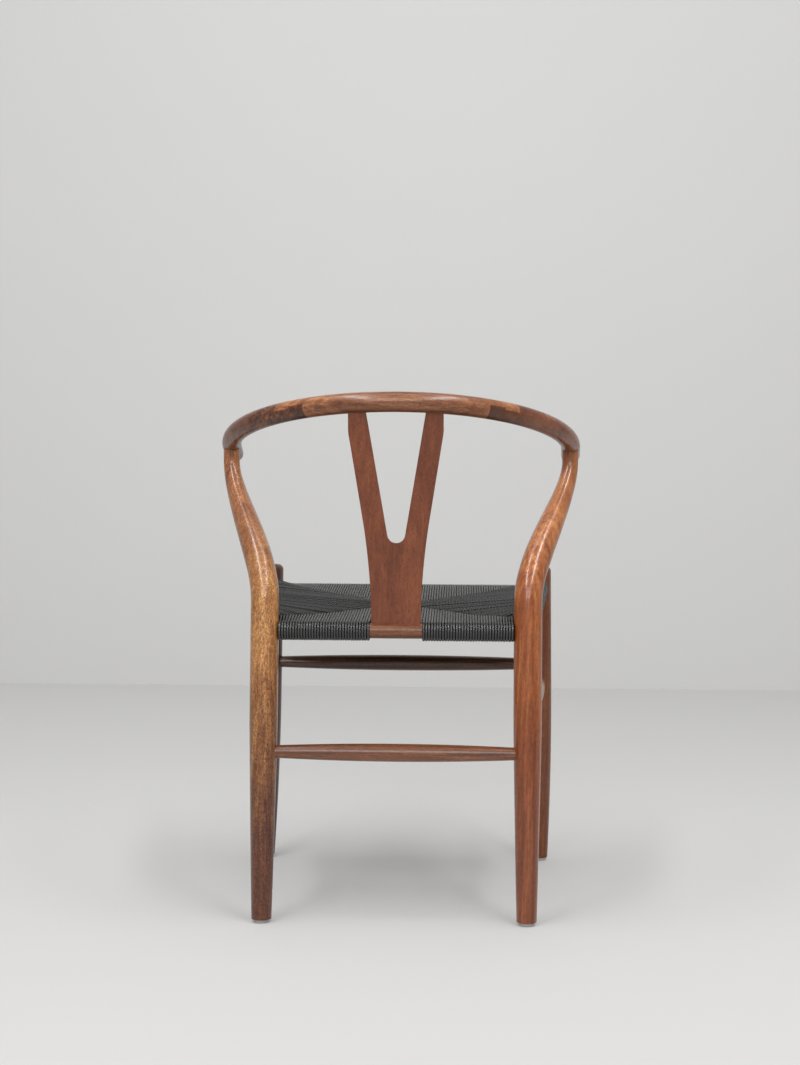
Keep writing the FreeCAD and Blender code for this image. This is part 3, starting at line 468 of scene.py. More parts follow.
def edit_faces(piece, wanted):
    """opens a piece in edit mode with only the wanted faces selected"""
    pick(piece)
    bpy.ops.object.mode_set(mode="EDIT")
    bpy.ops.mesh.select_mode(type="FACE")
    bpy.ops.mesh.select_all(action="DESELECT")
    bpy.ops.object.mode_set(mode="OBJECT")
    for face in piece.data.polygons:
        face.select = wanted(face)
    bpy.ops.object.mode_set(mode="EDIT")


def close_edit():
    bpy.ops.mesh.select_mode(type="VERT")
    bpy.ops.object.mode_set(mode="OBJECT")


def seat_rail(name, here, there, tall):
    """a rail between two points on the middle lines of two legs"""
    step = (there - here).normalized()
    start = here + step * RAIL_SHOULDER
    length = (there - here).length - 2 * RAIL_SHOULDER
    bpy.ops.object.select_all(action="DESELECT")
    bpy.ops.mesh.primitive_cube_add(size=1)
    rail = bpy.context.object
    rail.name = name
    rail.scale = (RAIL_WIDE * MM, tall * MM, length * MM)
    rail.location = (0, 0, length / 2 * MM)
    bpy.ops.object.transform_apply(location=True, rotation=True, scale=True)
    for edge in rail.data.edges:
        one, two = [rail.data.vertices[i].co for i in edge.vertices]
        edge.select = abs(one.z - two.z) > length / 2 * MM
    for face in rail.data.polygons:
        face.select = False
    for vertex in rail.data.vertices:
        vertex.select = False
    bpy.ops.object.mode_set(mode="EDIT")
    bpy.ops.mesh.select_mode(type="EDGE")
    bpy.ops.mesh.bevel(offset=tall * RAIL_ROUND * MM, segments=9, affect="EDGES")
    close_edit()
    for end, outward in ((0.0, -1), (length * MM, 1)):
        edit_faces(rail, lambda face: abs(face.center.z - end) < 1e-5 and abs(face.normal.z) > 0.9)
        bpy.ops.mesh.extrude_region_move(TRANSFORM_OT_translate={"value": (0, 0, 0)})
        bpy.ops.transform.resize(value=(RAIL_TENON_WIDE / RAIL_WIDE, RAIL_TENON_TALL / tall, 1),
                                 center_override=(0, 0, end))
        reach = outward * (RAIL_SHOULDER - RAIL_TENON_END) * MM
        bpy.ops.mesh.extrude_region_move(TRANSFORM_OT_translate={"value": (0, 0, reach)})
        close_edit()
    side = UP.cross(step).normalized()
    turn = Matrix((side, step.cross(side), step)).transposed().to_4x4()
    settle(rail, Matrix.Translation(start * MM) @ turn)
    return rail


front_rail = seat_rail("front_rail", front_post_at(-1, FRONT_RAIL_LEVEL), front_post_at(1, FRONT_RAIL_LEVEL),
                       CROSS_RAIL_TALL)
dress(front_rail, "front_seat_rail",
      oiled_wood("front_rail_wood", GOLD, ALONG_X, (0.8, 0.1, 0.1)))
rear_rail = seat_rail("rear_rail", rear_post_at(-1, REAR_RAIL_LEVEL), rear_post_at(1, REAR_RAIL_LEVEL),
                      CROSS_RAIL_TALL)
dress(rear_rail, "rear_seat_rail",
      oiled_wood("rear_rail_wood", RUST, ALONG_X, (0.33, 0.47, 0.2)))
left_rail = seat_rail("left_rail", front_post_at(1, SIDE_RAIL_FRONT_LEVEL),
                      rear_post_at(1, SIDE_RAIL_REAR_LEVEL), SIDE_RAIL_TALL)
dress(left_rail, "left_seat_rail",
      oiled_wood("left_rail_wood", GOLD, ALONG_Y, (0.6, 0.3, 0.4)))
right_rail = seat_rail("right_rail", front_post_at(-1, SIDE_RAIL_FRONT_LEVEL),
                       rear_post_at(-1, SIDE_RAIL_REAR_LEVEL), SIDE_RAIL_TALL)
dress(right_rail, "right_seat_rail",
      oiled_wood("right_rail_wood", GOLD, ALONG_Y, (0.2, 0.75, 0.7)))


# Top rail: a round half circle with straight arm ends, sawn and rounded from three boards. The boards are
# glued with stepped laps: the centre piece lies on top and hooks down over the end of each arm.
LAP_LENGTH = 49.0
LAP_MIDDLE = 34.4
LAP_HALF = math.degrees(LAP_LENGTH / 2 / BOW_RADIUS)
LAP_IN = LAP_MIDDLE - LAP_HALF
LAP_OUT = LAP_MIDDLE + LAP_HALF
LAP_ROOT_RISE = 2.0
LAP_HOOK_DROP = 1.2
SAW_WIDE = 60
SAW_REACH = 30
SAW_OVERRUN = 1
ARM_TIP_HALF_TALL = 13.0
ARM_TIP_ROUND = 10.0
ARM_THINNED_BY = 0.45
ARM_STEPS = 9
CENTRE_COLOURS = ((0.115, 0.037, 0.014, 1), (0.21, 0.075, 0.03, 1), (0.33, 0.14, 0.062, 1))
LEFT_ARM_COLOURS = ((0.065, 0.018, 0.006, 1), (0.145, 0.046, 0.018, 1), (0.25, 0.092, 0.04, 1))
RIGHT_ARM_COLOURS = ((0.105, 0.029, 0.010, 1), (0.175, 0.052, 0.02, 1), (0.27, 0.095, 0.04, 1))
ARM_GRAIN_PITCH = math.radians(76)
ARM_GRAIN_TURN = math.radians(25)


def lap_block(first, last, low, high):
    """a wedge of air that a saw takes out of the bow, between two angles from the middle of the back"""
    bpy.ops.object.select_all(action="DESELECT")
    bpy.ops.mesh.primitive_plane_add(size=1, location=(0, 0, 0))
    block = bpy.context.object
    block.scale = (SAW_WIDE * MM, (high - low) * MM, 1)
    block.rotation_euler = (math.pi / 2, 0, 0)
    block.location = (BOW_RADIUS * MM, 0, (low + high) / 2 * MM)
    bpy.ops.object.transform_apply(location=True, rotation=True, scale=True)
    bpy.ops.object.mode_set(mode="EDIT")
    bpy.ops.mesh.select_all(action="SELECT")
    bpy.ops.mesh.spin(steps=4, angle=math.radians(last - first), center=(0, 0, 0), axis=(0, 0, 1))
    bpy.ops.object.mode_set(mode="OBJECT")
    face_outwards(block)
    settle(block, Matrix.Rotation(math.radians(90 - first), 4, "Z"))
    return block


def saw_out(piece, blocks):
    for block in blocks:
        pick(piece)
        saw = piece.modifiers.new("saw", "BOOLEAN")
        saw.operation = "DIFFERENCE"
        saw.solver = "EXACT"
        saw.object = block
        bpy.ops.object.modifier_apply(modifier=saw.name)
        bpy.data.objects.remove(block)


def bow_section(name, turn, steps):
    """a round stretch of the bow, from the first axis round towards the second"""
    bpy.ops.object.select_all(action="DESELECT")
    bpy.ops.mesh.primitive_circle_add(vertices=64, radius=BOW_R * MM, fill_type="NGON", location=(0, 0, 0))
    stretch = bpy.context.object
    stretch.name = name
    stretch.rotation_euler = (math.pi / 2, 0, 0)
    stretch.location = (BOW_RADIUS * MM, 0, 0)
    bpy.ops.object.transform_apply(location=True, rotation=True, scale=True)
    bpy.ops.object.mode_set(mode="EDIT")
    bpy.ops.mesh.select_all(action="SELECT")
    bpy.ops.mesh.spin(steps=steps, angle=math.radians(turn), center=(0, 0, 0), axis=(0, 0, -1))
    bpy.ops.object.mode_set(mode="OBJECT")
    face_outwards(stretch)
    return stretch


bow_centre = bow_section("bow_centre", 2 * LAP_OUT, steps=64)
settle(bow_centre, Matrix.Rotation(math.radians(90 - LAP_OUT), 4, "Z"))
saw_out(bow_centre, [
    lap_block(LAP_IN, LAP_MIDDLE, -SAW_REACH, LAP_ROOT_RISE),
    lap_block(LAP_MIDDLE, LAP_OUT + SAW_OVERRUN, -SAW_REACH, -LAP_HOOK_DROP),
    lap_block(-LAP_MIDDLE, -LAP_IN, -SAW_REACH, LAP_ROOT_RISE),
    lap_block(-LAP_OUT - SAW_OVERRUN, -LAP_MIDDLE, -SAW_REACH, -LAP_HOOK_DROP),
])
settle(bow_centre, BOW_PLACE)

bow_arm_left = bow_section("bow_arm_left", 90 - ARM_FLARE_DEGREES - LAP_IN, steps=44)
edit_faces(bow_arm_left, lambda face: face.normal.y < -0.99 and abs(face.center.y) < 1e-5)
wide, tall, reached = BOW_R, BOW_R, 0.0
for step in range(1, 2 * ARM_STEPS + 1):
    if step <= ARM_STEPS:
        reach = ARM_RUN * step / ARM_STEPS
        ease = min(reach / (ARM_THINNED_BY * ARM_RUN), 1)
        new_wide = BOW_R - (BOW_R - ARM_TIP_HALF_WIDE) * ease
        new_tall = BOW_R - (BOW_R - ARM_TIP_HALF_TALL) * ease
    else:
        turn = math.radians(90 * (step - ARM_STEPS) / ARM_STEPS)
        reach = ARM_RUN + ARM_TIP_ROUND * math.sin(turn)
        inset = ARM_TIP_ROUND * (1 - math.cos(turn))
        new_wide, new_tall = ARM_TIP_HALF_WIDE - inset, ARM_TIP_HALF_TALL - inset
    bpy.ops.mesh.extrude_region_move(TRANSFORM_OT_translate={"value": (0, (reached - reach) * MM, 0)})
    bpy.ops.transform.resize(value=(new_wide / wide, 1, new_tall / tall),
                             center_override=(BOW_RADIUS * MM, -reach * MM, 0))
    wide, tall, reached = new_wide, new_tall, reach
close_edit()
settle(bow_arm_left, Matrix.Rotation(ARM_FLARE, 4, "Z"))
saw_out(bow_arm_left, [
    lap_block(LAP_IN - SAW_OVERRUN, LAP_MIDDLE, LAP_ROOT_RISE, SAW_REACH),
    lap_block(LAP_MIDDLE, LAP_OUT, -LAP_HOOK_DROP, SAW_REACH),
])
bow_arm_right = mirrored(bow_arm_left, "bow_arm_right")
settle(bow_arm_left, BOW_PLACE)
settle(bow_arm_right, BOW_PLACE)
dress(bow_centre, "top_rail_centre",
      oiled_wood("bow_centre_wood", CENTRE_COLOURS, ALONG_X, (0.5, 0.5, 0.2),
                 stains_and_highlights=[("X", 0.150, 0.118, (1.45, 1.5, 1.45, 1)),
                         ("X", -0.150, -0.118, (1.3, 1.3, 1.2, 1))]))
dress(bow_arm_left, "top_rail_arm_left",
      oiled_wood("bow_arm_left_wood", LEFT_ARM_COLOURS, (ARM_GRAIN_PITCH, 0, -ARM_GRAIN_TURN),
                 (0.2, 0.1, 0.3), stains_and_highlights=[("X", 0.150, 0.215, (0.5, 0.46, 0.48, 1))]))
dress(bow_arm_right, "top_rail_arm_right",
      oiled_wood("bow_arm_right_wood", RIGHT_ARM_COLOURS, (ARM_GRAIN_PITCH, 0, ARM_GRAIN_TURN),
                 (0.6, 0.4, 0.1), stains_and_highlights=[("X", -0.145, -0.205, (0.45, 0.52, 0.6, 1))]))


# Back splat: a forked board, sawn to a Y and gently hollowed, with softened edges. Its foot stands in a slot
# of the rear rail and each prong is tenoned into the top rail from below.
SPLAT_THICK = 11.0
RAIL_TOP = 428.0
SPLAT_RISE = 316.0
SPLAT_TOP_END = 734
SPLAT_SLOT = 11
SPLAT_FOOT_HALF = 35.5
SPLAT_BRANCH_HALF = 48.9
SPLAT_BRANCH_SHARE = 0.5
SPLAT_WAIST_BULGE = -3.1
SPLAT_SHOULDER_HALF = 66.2
SPLAT_SHOULDER_SHARE = 0.845
SPLAT_SHOULDER_BULGE = 0.6
SPLAT_TOP_HALF = 67.4
SPLAT_UPRIGHT_SHARE = 0.905
FORK_TOP_HALF = 42.8
NOTCH_HALF = 12.9
NOTCH_SHARE = 0.4060
NOTCH_BULGE = -11.2
BLANK_HALF_THICK = 90
BLANK_Y = 205
HOLLOW_R = 1725.4
HOLLOW_AXIS = Vector((0, 1894.9, 273.4))
HOLLOW_WIDE = 180
HOLLOW_SWEEP = math.radians(14)
HOLLOW_START = math.radians(-3.6)
SPLAT_EDGE_ROUND = 1.1
SPLAT_COLOURS = ((0.122, 0.028, 0.007, 1), (0.165, 0.039, 0.011, 1), (0.22, 0.06, 0.02, 1))


def bowed_edge(one, two, bulge, steps=12):
    """points along a shallow curve from one corner of the board to the next"""
    one, two = Vector(one), Vector(two)
    middle = (one + two) / 2
    half = (two - one).length / 2
    normal = Vector((two.y - one.y, one.x - two.x)).normalized()
    radius = (half * half + bulge * bulge) / (2 * bulge)
    hub = middle - normal * (radius - bulge)
    start = math.atan2(one.y - hub.y, one.x - hub.x)
    stop = math.atan2(two.y - hub.y, two.x - hub.x)
    turn = (stop - start + math.pi) % (2 * math.pi) - math.pi
    return [(hub.x + abs(radius) * math.cos(start + turn * step / steps),
             hub.y + abs(radius) * math.sin(start + turn * step / steps)) for step in range(steps)]


def up_board(share):
    return RAIL_TOP + SPLAT_RISE * share


def mesh_of(line, name):
    """a mesh piece from a drawn line"""
    piece = bpy.data.objects.new(name, line)
    bpy.context.collection.objects.link(piece)
    pick(piece)
    bpy.ops.object.convert(target="MESH")
    piece = bpy.context.object
    face_outwards(piece, merge=True)
    return piece


foot_corner = (SPLAT_FOOT_HALF, RAIL_TOP)
branch_corner = (SPLAT_BRANCH_HALF, up_board(SPLAT_BRANCH_SHARE))
shoulder_corner = (SPLAT_SHOULDER_HALF, up_board(SPLAT_SHOULDER_SHARE))
upright_corner = (SPLAT_TOP_HALF, up_board(SPLAT_UPRIGHT_SHARE))
right_edge = [(SPLAT_FOOT_HALF, RAIL_TOP - SPLAT_SLOT)]
right_edge += bowed_edge(foot_corner, branch_corner, SPLAT_WAIST_BULGE) + [branch_corner]
right_edge += bowed_edge(shoulder_corner, upright_corner, SPLAT_SHOULDER_BULGE, steps=8) + [upright_corner]
right_edge += [(SPLAT_TOP_HALF, SPLAT_TOP_END), (FORK_TOP_HALF, SPLAT_TOP_END)]
notch_right = (NOTCH_HALF, up_board(NOTCH_SHARE))
notch_left = (-NOTCH_HALF, up_board(NOTCH_SHARE))
notch = bowed_edge(notch_right, notch_left, NOTCH_BULGE, steps=16) + [notch_left]
left_edge = [(-across, level) for across, level in reversed(right_edge)]
board_line = bpy.data.curves.new("splat_line", "CURVE")
board_line.dimensions = "2D"
board_line.fill_mode = "BOTH"
board_line.extrude = BLANK_HALF_THICK * MM
board_run = board_line.splines.new("POLY")
board_corners = right_edge + notch + left_edge
board_run.points.add(len(board_corners) - 1)
for knot, (across, level) in zip(board_run.points, board_corners):
    knot.co = (across * MM, level * MM, 0, 1)
board_run.use_cyclic_u = True
splat_board = mesh_of(board_line, "splat_board")
settle(splat_board, Matrix.Translation((0, BLANK_Y * MM, 0)) @ Matrix.Rotation(math.pi / 2, 4, "X"))

bpy.ops.object.select_all(action="DESELECT")
bpy.ops.mesh.primitive_plane_add(size=1)
hollow_sheet = bpy.context.object
hollow_sheet.scale = (HOLLOW_WIDE * MM, SPLAT_THICK * MM, 1)
hollow_sheet.location = (0, -HOLLOW_R * MM, 0)
bpy.ops.object.transform_apply(location=True, rotation=True, scale=True)
bpy.ops.object.mode_set(mode="EDIT")
bpy.ops.mesh.select_all(action="SELECT")
bpy.ops.mesh.spin(steps=40, angle=HOLLOW_SWEEP, center=(0, 0, 0), axis=(1, 0, 0))
bpy.ops.object.mode_set(mode="OBJECT")
face_outwards(hollow_sheet)
settle(hollow_sheet, Matrix.Translation(HOLLOW_AXIS * MM) @ Matrix.Rotation(HOLLOW_START, 4, "X"))
pick(splat_board)
hollowing = splat_board.modifiers.new("hollowing", "BOOLEAN")
hollowing.operation = "INTERSECT"
hollowing.solver = "EXACT"
hollowing.object = hollow_sheet
bpy.ops.object.modifier_apply(modifier=hollowing.name)
bpy.data.objects.remove(hollow_sheet)
soften = splat_board.modifiers.new("soften", "BEVEL")
soften.width = SPLAT_EDGE_ROUND * MM
soften.segments = 3
soften.limit_method = "ANGLE"
soften.angle_limit = math.radians(50)
bpy.ops.object.modifier_apply(modifier=soften.name)
dress(splat_board, "back_splat",
      oiled_wood("splat_wood", SPLAT_COLOURS, (0.02, 0.01, 0.2), (0.77, 0.31, 0.5), fleck=0.16, gloss=0.40))


# Woven seat: one long paper cord, black and tightly twisted, wound round the rails in four wedges that meet
# on the diagonals. Beside the splat it wraps the rear rail; in front of the splat it turns down inside the
# rail. It shines most where it is drawn tight round a rail.
CORD_R = 2.06
CORD_PITCH = 4.0
CORD_LIE = 1.65
CORD_SWAY = 0.06
CROSS_CORD_RISE = 0.12
SIDE_CORD_RISE = 0.4
NOSE_SHARE = 0.3772
SEAT_MIDDLE_Y = -13.6
SEAT_TOP = 441.1
SEAT_UNDER = 425.6
CORNER_LIFT = 9.0
LIFT_START = 0.45
FRONT_CORNER_X = 223.3
SPLAT_CLEAR_HALF = 37.2
# where a cord dives at a diagonal: (distance past it, drop)
SEAM_DIVE = ((-1.6, 3.4), (1.2, 1.2))
# where a cord turns down inside a rail: (distance from it, drop)
INSIDE_TURN = ((4.0, 0.0), (1.2, 1.2), (0.0, 4.0))
RUN_IN = 5.0
RUN_IN_SHARE = 0.4
SHORTEST_RUN = 8.0
SEAM_EASE = 0.6
EDGE_EASE = 0.9
CORD_TWIST = 13.0
CORD_STRANDS = 3
CORD_OUTER_SIDE = 0.125
# Tones for the seams and crests of the twisted strands: painted shade and highlight of the twist on a
# near-black paper.
CORD_SEAM_SHADE = (0.003, 0.003, 0.003, 1)
CORD_CREST_LIGHT = (0.028, 0.028, 0.028, 1)
random.seed(11)


def rail_nose(tall):
    """half height, reach and radius of the cord's turn round a rail's edge, and the turn's hub"""
    half = tall / 2 + CORD_LIE
    reach = NOSE_SHARE * tall + CORD_LIE
    return half, reach, (half * half + reach * reach) / (2 * reach), RAIL_WIDE / 2 - NOSE_SHARE * tall


def round_rail(tall, steps=4):
    """points round a rail's outer edge, from above to below: (distance out from its middle, height)"""
    _, reach, radius, hub = rail_nose(tall)
    end = math.acos((radius - reach) / radius)
    turns = [end - 2 * end * step / steps for step in range(steps + 1)]
    return [(hub + reach - radius + radius * math.cos(turn), radius * math.sin(turn)) for turn in turns]


def panel_height(y, top):
    """height of the cords over the front or the rear half of the seat"""
    half, _, _, hub = rail_nose(CROSS_RAIL_TALL)
    lift = half if top else -half
    if y < SEAT_MIDDLE_Y:
        edge, level = FRONT_Y + hub, FRONT_RAIL_LEVEL + lift
    else:
        edge, level = REAR_Y - hub, REAR_RAIL_LEVEL + lift
    middle = SEAT_TOP if top else SEAT_UNDER
    share = min(max((y - edge) / (SEAT_MIDDLE_Y - edge), 0), 1)
    return level + (middle - level) * share


def seam_height(y, top):
    """height of the diagonal where two wedges meet; the higher side rails lift it near the corners"""
    edge = FRONT_Y if y < SEAT_MIDDLE_Y else REAR_Y
    near = max(((y - SEAT_MIDDLE_Y) / (edge - SEAT_MIDDLE_Y) - LIFT_START) / (1 - LIFT_START), 0)
    return panel_height(y, top) + CORNER_LIFT * near ** 2


cord_line = bpy.data.curves.new("seat_cord_line", "CURVE")
cord_line.dimensions = "3D"
cord_line.bevel_depth = CORD_R * MM
cord_line.bevel_resolution = 2
cord_line.use_fill_caps = True


def wind(points):
    run = cord_line.splines.new("POLY")
    run.points.add(len(points) - 1)
    for knot, spot in zip(run.points, points):
        knot.co = (*(spot * MM), 1)


def cross_cord(x, out, rail_y, level, corner_x, inside=False):
    """one turn of cord between a cross rail and the diagonals"""
    seam = SEAT_MIDDLE_Y + abs(x) / corner_x * (rail_y - SEAT_MIDDLE_Y)
    half, _, _, hub = rail_nose(CROSS_RAIL_TALL)
    sway = random.uniform(-CORD_SWAY, CORD_SWAY)
    rise = random.uniform(-CROSS_CORD_RISE, CROSS_CORD_RISE)
    x = x + sway

    def at(y, z):
        return Vector((x, y, z + rise))

    over, under = seam_height(seam, True), seam_height(seam, False)
    run_in = min(RUN_IN, abs(rail_y - seam) * RUN_IN_SHARE)
    top = [at(seam + out * past, over - drop) for past, drop in SEAM_DIVE] + [at(seam + out * run_in, over)]
    low = [at(seam + out * run_in, under)]
    low += [at(seam + out * past, under + drop) for past, drop in reversed(SEAM_DIVE)]
    if inside:
        face = rail_y - out * (RAIL_WIDE / 2 + CORD_LIE)
        over, under = panel_height(face, True), panel_height(face, False)
        turn = [at(face - out * back, over - drop) for back, drop in INSIDE_TURN]
        turn += [at(face - out * back, under + drop) for back, drop in reversed(INSIDE_TURN)]
    else:
        turn = [at(rail_y - out * hub, level + half)]
        turn += [at(rail_y + out * away, level + height) for away, height in round_rail(CROSS_RAIL_TALL)]
        turn += [at(rail_y - out * hub, level - half)]
    wind(top + turn + low)


def side_cord(y, sign):
    """one turn of cord between a side rail and the diagonals"""
    start, end = front_post_at(sign, SIDE_RAIL_FRONT_LEVEL), rear_post_at(sign, SIDE_RAIL_REAR_LEVEL)
    share = (y - start.y) / (end.y - start.y)
    rail = start + (end - start) * share
    if y < SEAT_MIDDLE_Y:
        seam = FRONT_CORNER_X * (y - SEAT_MIDDLE_Y) / (FRONT_Y - SEAT_MIDDLE_Y)
    else:
        seam = REAR_HALF_SPREAD * (y - SEAT_MIDDLE_Y) / (REAR_Y - SEAT_MIDDLE_Y)
    half, _, radius, hub = rail_nose(SIDE_RAIL_TALL)
    sway = random.uniform(-CORD_SWAY, CORD_SWAY)
    rise = random.gauss(0, SIDE_CORD_RISE)

    def at(x, z):
        return Vector((sign * x, y + sway, z + rise))

    mid_x = abs(rail.x)
    free = mid_x - hub - seam
    seam_top, seam_low = seam_height(y, True), seam_height(y, False)
    climb = math.atan2(rail.z + half - seam_top, max(free, SHORTEST_RUN))
    under_climb = math.atan2(rail.z - half - seam_low, max(free, SHORTEST_RUN))
    tilt = max(climb, 0)
    run_in = min(RUN_IN, free * RUN_IN_SHARE)
    points = [at(seam + past, seam_top - drop) for past, drop in SEAM_DIVE]
    points += [at(seam + run_in, seam_top + run_in * math.tan(climb) * SEAM_EASE),
               at(mid_x - hub - radius * math.sin(tilt) * EDGE_EASE,
                  rail.z + half - radius * (1 - math.cos(tilt))),
               at(mid_x - hub * 0.5, rail.z + half)]
    points += [at(mid_x + away, rail.z + height) for away, height in round_rail(SIDE_RAIL_TALL)]
    points += [at(mid_x - hub, rail.z - half),
               at(seam + run_in, seam_low + run_in * math.tan(under_climb) * SEAM_EASE)]
    points += [at(seam + past, seam_low + drop) for past, drop in reversed(SEAM_DIVE)]
    wind(points)


front_reach = FRONT_CORNER_X - FRONT_LEG_R - CORD_R
front_count = round(front_reach / CORD_PITCH)
for number in range(-front_count, front_count + 1):
    cross_cord(front_reach * number / front_count, -1, FRONT_Y, FRONT_RAIL_LEVEL, FRONT_CORNER_X)
rear_reach = REAR_HALF_SPREAD - REAR_LEG_R - CORD_R
rear_count = round(rear_reach / CORD_PITCH)
for number in range(-rear_count, rear_count + 1):
    x = rear_reach * number / rear_count
    cross_cord(x, 1, REAR_Y, REAR_RAIL_LEVEL, REAR_HALF_SPREAD, inside=abs(x) < SPLAT_CLEAR_HALF)
first_y = FRONT_Y + FRONT_LEG_R + CORD_R
last_y = REAR_Y - REAR_LEG_R - CORD_R
side_count = round((last_y - first_y) / CORD_PITCH)
for sign in (1, -1):
    for number in range(side_count + 1):
        side_cord(first_y + (last_y - first_y) * number / side_count, sign)
cord_seat = mesh_of(cord_line, "cord_seat")

black_cord, cord_tree, cord_shader = blank_material("black_paper_cord")
cord_shader.inputs["Roughness"].default_value = 0.26
cord_map = cord_tree.nodes.new("ShaderNodeUVMap")
cord_map.uv_map = "UVMap"
cord_sides = cord_tree.nodes.new("ShaderNodeSeparateXYZ")
cord_tree.links.new(cord_map.outputs["UV"], cord_sides.inputs["Vector"])
part_along, part_round = cord_sides.outputs["X"], cord_sides.outputs["Y"]
cord_place = cord_tree.nodes.new("ShaderNodeTexCoord")
cord_axes = cord_tree.nodes.new("ShaderNodeSeparateXYZ")
cord_tree.links.new(cord_place.outputs["Object"], cord_axes.inputs["Vector"])
run_along = sum_of(cord_tree, "ADD", cord_axes.outputs["Y"], cord_axes.outputs["Z"])
run_along = sum_of(cord_tree, "ADD", cord_axes.outputs["X"], run_along)
strand = sum_of(cord_tree, "ADD", part_round, sum_of(cord_tree, "DIVIDE", run_along, CORD_TWIST * MM))
strand = sum_of(cord_tree, "SINE", sum_of(cord_tree, "MULTIPLY", strand, CORD_STRANDS * math.pi))
strand = sum_of(cord_tree, "ABSOLUTE", strand)
# Lighter on each strand's crest and darker in the seams between strands, as the bump rises and falls: painted
# shade and highlight of the twist.
cord_twist_shading = colours_by(cord_tree, strand, ((0.0, CORD_SEAM_SHADE), (1.0, CORD_CREST_LIGHT)))
# Each cord's sides, where it meets its neighbours, are darkened: painted shade in the grooves between cords;
# the same mask lowers the gloss there.
outward = sum_of(cord_tree, "SUBTRACT", part_round, CORD_OUTER_SIDE)
outward = sum_of(cord_tree, "COSINE", sum_of(cord_tree, "MULTIPLY", outward, 2 * math.pi))
painted_groove_shade = between(cord_tree, outward, 0.15, 0.90, ease="SMOOTHSTEP")
cord_tree.links.new(multiply(cord_tree, cord_twist_shading, 1.0, painted_groove_shade), cord_shader.inputs["Base Color"])
from_edge = sum_of(cord_tree, "ABSOLUTE", sum_of(cord_tree, "SUBTRACT", part_along, 0.5))
rail_edge = between(cord_tree, from_edge, 0.25, 0.15, ease="SMOOTHSTEP")
cord_gloss = sum_of(cord_tree, "ADD", sum_of(cord_tree, "MULTIPLY", rail_edge, 0.5), 0.38)
cord_gloss = sum_of(cord_tree, "MULTIPLY", painted_groove_shade, cord_gloss)
cord_tree.links.new(cord_gloss, cord_shader.inputs["Specular IOR Level"])
cord_relief = cord_tree.nodes.new("ShaderNodeBump")
relief_depth = sum_of(cord_tree, "SUBTRACT", 1.0, sum_of(cord_tree, "MULTIPLY", rail_edge, 0.55))
cord_tree.links.new(relief_depth, cord_relief.inputs["Strength"])
cord_relief.inputs["Distance"].default_value = 0.0008
cord_tree.links.new(strand, cord_relief.inputs["Height"])
cord_tree.links.new(cord_relief.outputs["Normal"], cord_shader.inputs["Normal"])
dress(cord_seat, "woven_seat", black_cord, smooth_under=60)


# Foot glides: four round nylon pads with softened rims under the feet. Each is held by a square headless
# steel nail driven up into the leg; the nails keep the shape that they have in the solids.
GLIDE_R = 10.5
GLIDE_RIM = 1.2


def speckled(name, scale, dark, light, roughness, metallic=0.0, detail=2.0):
    """a plain finish with a faint speckle"""
    stuff, tree, shader = blank_material(name)
    shader.inputs["Roughness"].default_value = roughness
    shader.inputs["Metallic"].default_value = metallic
    spot = tree.nodes.new("ShaderNodeTexCoord")
    speckle = tree.nodes.new("ShaderNodeTexNoise")
    speckle.inputs["Scale"].default_value = scale
    speckle.inputs["Detail"].default_value = detail
    tree.links.new(spot.outputs["Object"], speckle.inputs["Vector"])
    tone = colours_by(tree, speckle.outputs["Fac"], ((0.0, dark), (1.0, light)))
    tree.links.new(tone, shader.inputs["Base Color"])
    return stuff


def glide_pad(name):
    bpy.ops.object.select_all(action="DESELECT")
    bpy.ops.mesh.primitive_cylinder_add(vertices=48, radius=GLIDE_R * MM, depth=GLIDE_TOP * MM,
                                        location=(0, 0, 0))
    pad = bpy.context.object
    pad.name = name
    bpy.ops.object.mode_set(mode="EDIT")
    bpy.ops.mesh.select_all(action="SELECT")
    bpy.ops.transform.translate(value=(0, 0, GLIDE_TOP / 2 * MM))
    bpy.ops.object.mode_set(mode="OBJECT")
    rim = pad.modifiers.new("rim", "BEVEL")
    rim.width = GLIDE_RIM * MM
    rim.segments = 4
    rim.limit_method = "ANGLE"
    bpy.ops.object.modifier_apply(modifier=rim.name)
    return pad


pale_nylon = speckled("pale_nylon", 220, (0.36, 0.35, 0.33, 1), (0.55, 0.54, 0.51, 1), roughness=0.38)
for end, foot_at in (("front", front_post_at), ("rear", rear_post_at)):
    first = glide_pad(end + "_glide_pads")
    second = copy_of(first, end + "_glide_other")
    settle(first, Matrix.Translation(foot_at(1, 0) * MM))
    settle(second, Matrix.Translation(foot_at(-1, 0) * MM))
    first.select_set(True)
    bpy.context.view_layer.objects.active = first
    bpy.ops.object.join()
    dress(first, end + "_foot_glides", pale_nylon)

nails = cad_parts["glide_nails"]
nails.data.materials.clear()
nails.data.materials.append(speckled("nail_steel", 900, (0.34, 0.34, 0.35, 1), (0.52, 0.52, 0.53, 1),
                                     roughness=0.42, metallic=1.0))


# The room: a plain pale floor and a plain wall behind the chair, painted a light warm grey. They aren't part
# of the chair. What is seen of the floor, or mirrored in a gloss, is lifted a little, so that shadows stay
# light; the soft light that it throws back on the chair isn't changed by that.
WALL_Y = -2.64
WALL_TALL = 6
ROOM_WIDE = 14
FLOOR_DEEP = 10
SEEN_SHADE = 0.78
SEEN_GLOW = 0.14


def plaster(name, colour, spread):
    dark = tuple(part - spread for part in colour) + (1,)
    light = tuple(part + spread for part in colour) + (1,)
    paint = speckled(name, 1.3, dark, light, roughness=0.75, detail=5)
    paint.node_tree.nodes["Principled BSDF"].inputs["Specular IOR Level"].default_value = 0.2
    return paint


def pane(name, place, paint):
    bpy.ops.object.select_all(action="DESELECT")
    bpy.ops.mesh.primitive_plane_add(size=1, location=(0, 0, 0))
    flat = bpy.context.object
    flat.name = name
    settle(flat, place)
    flat.data.materials.append(paint)
    return flat


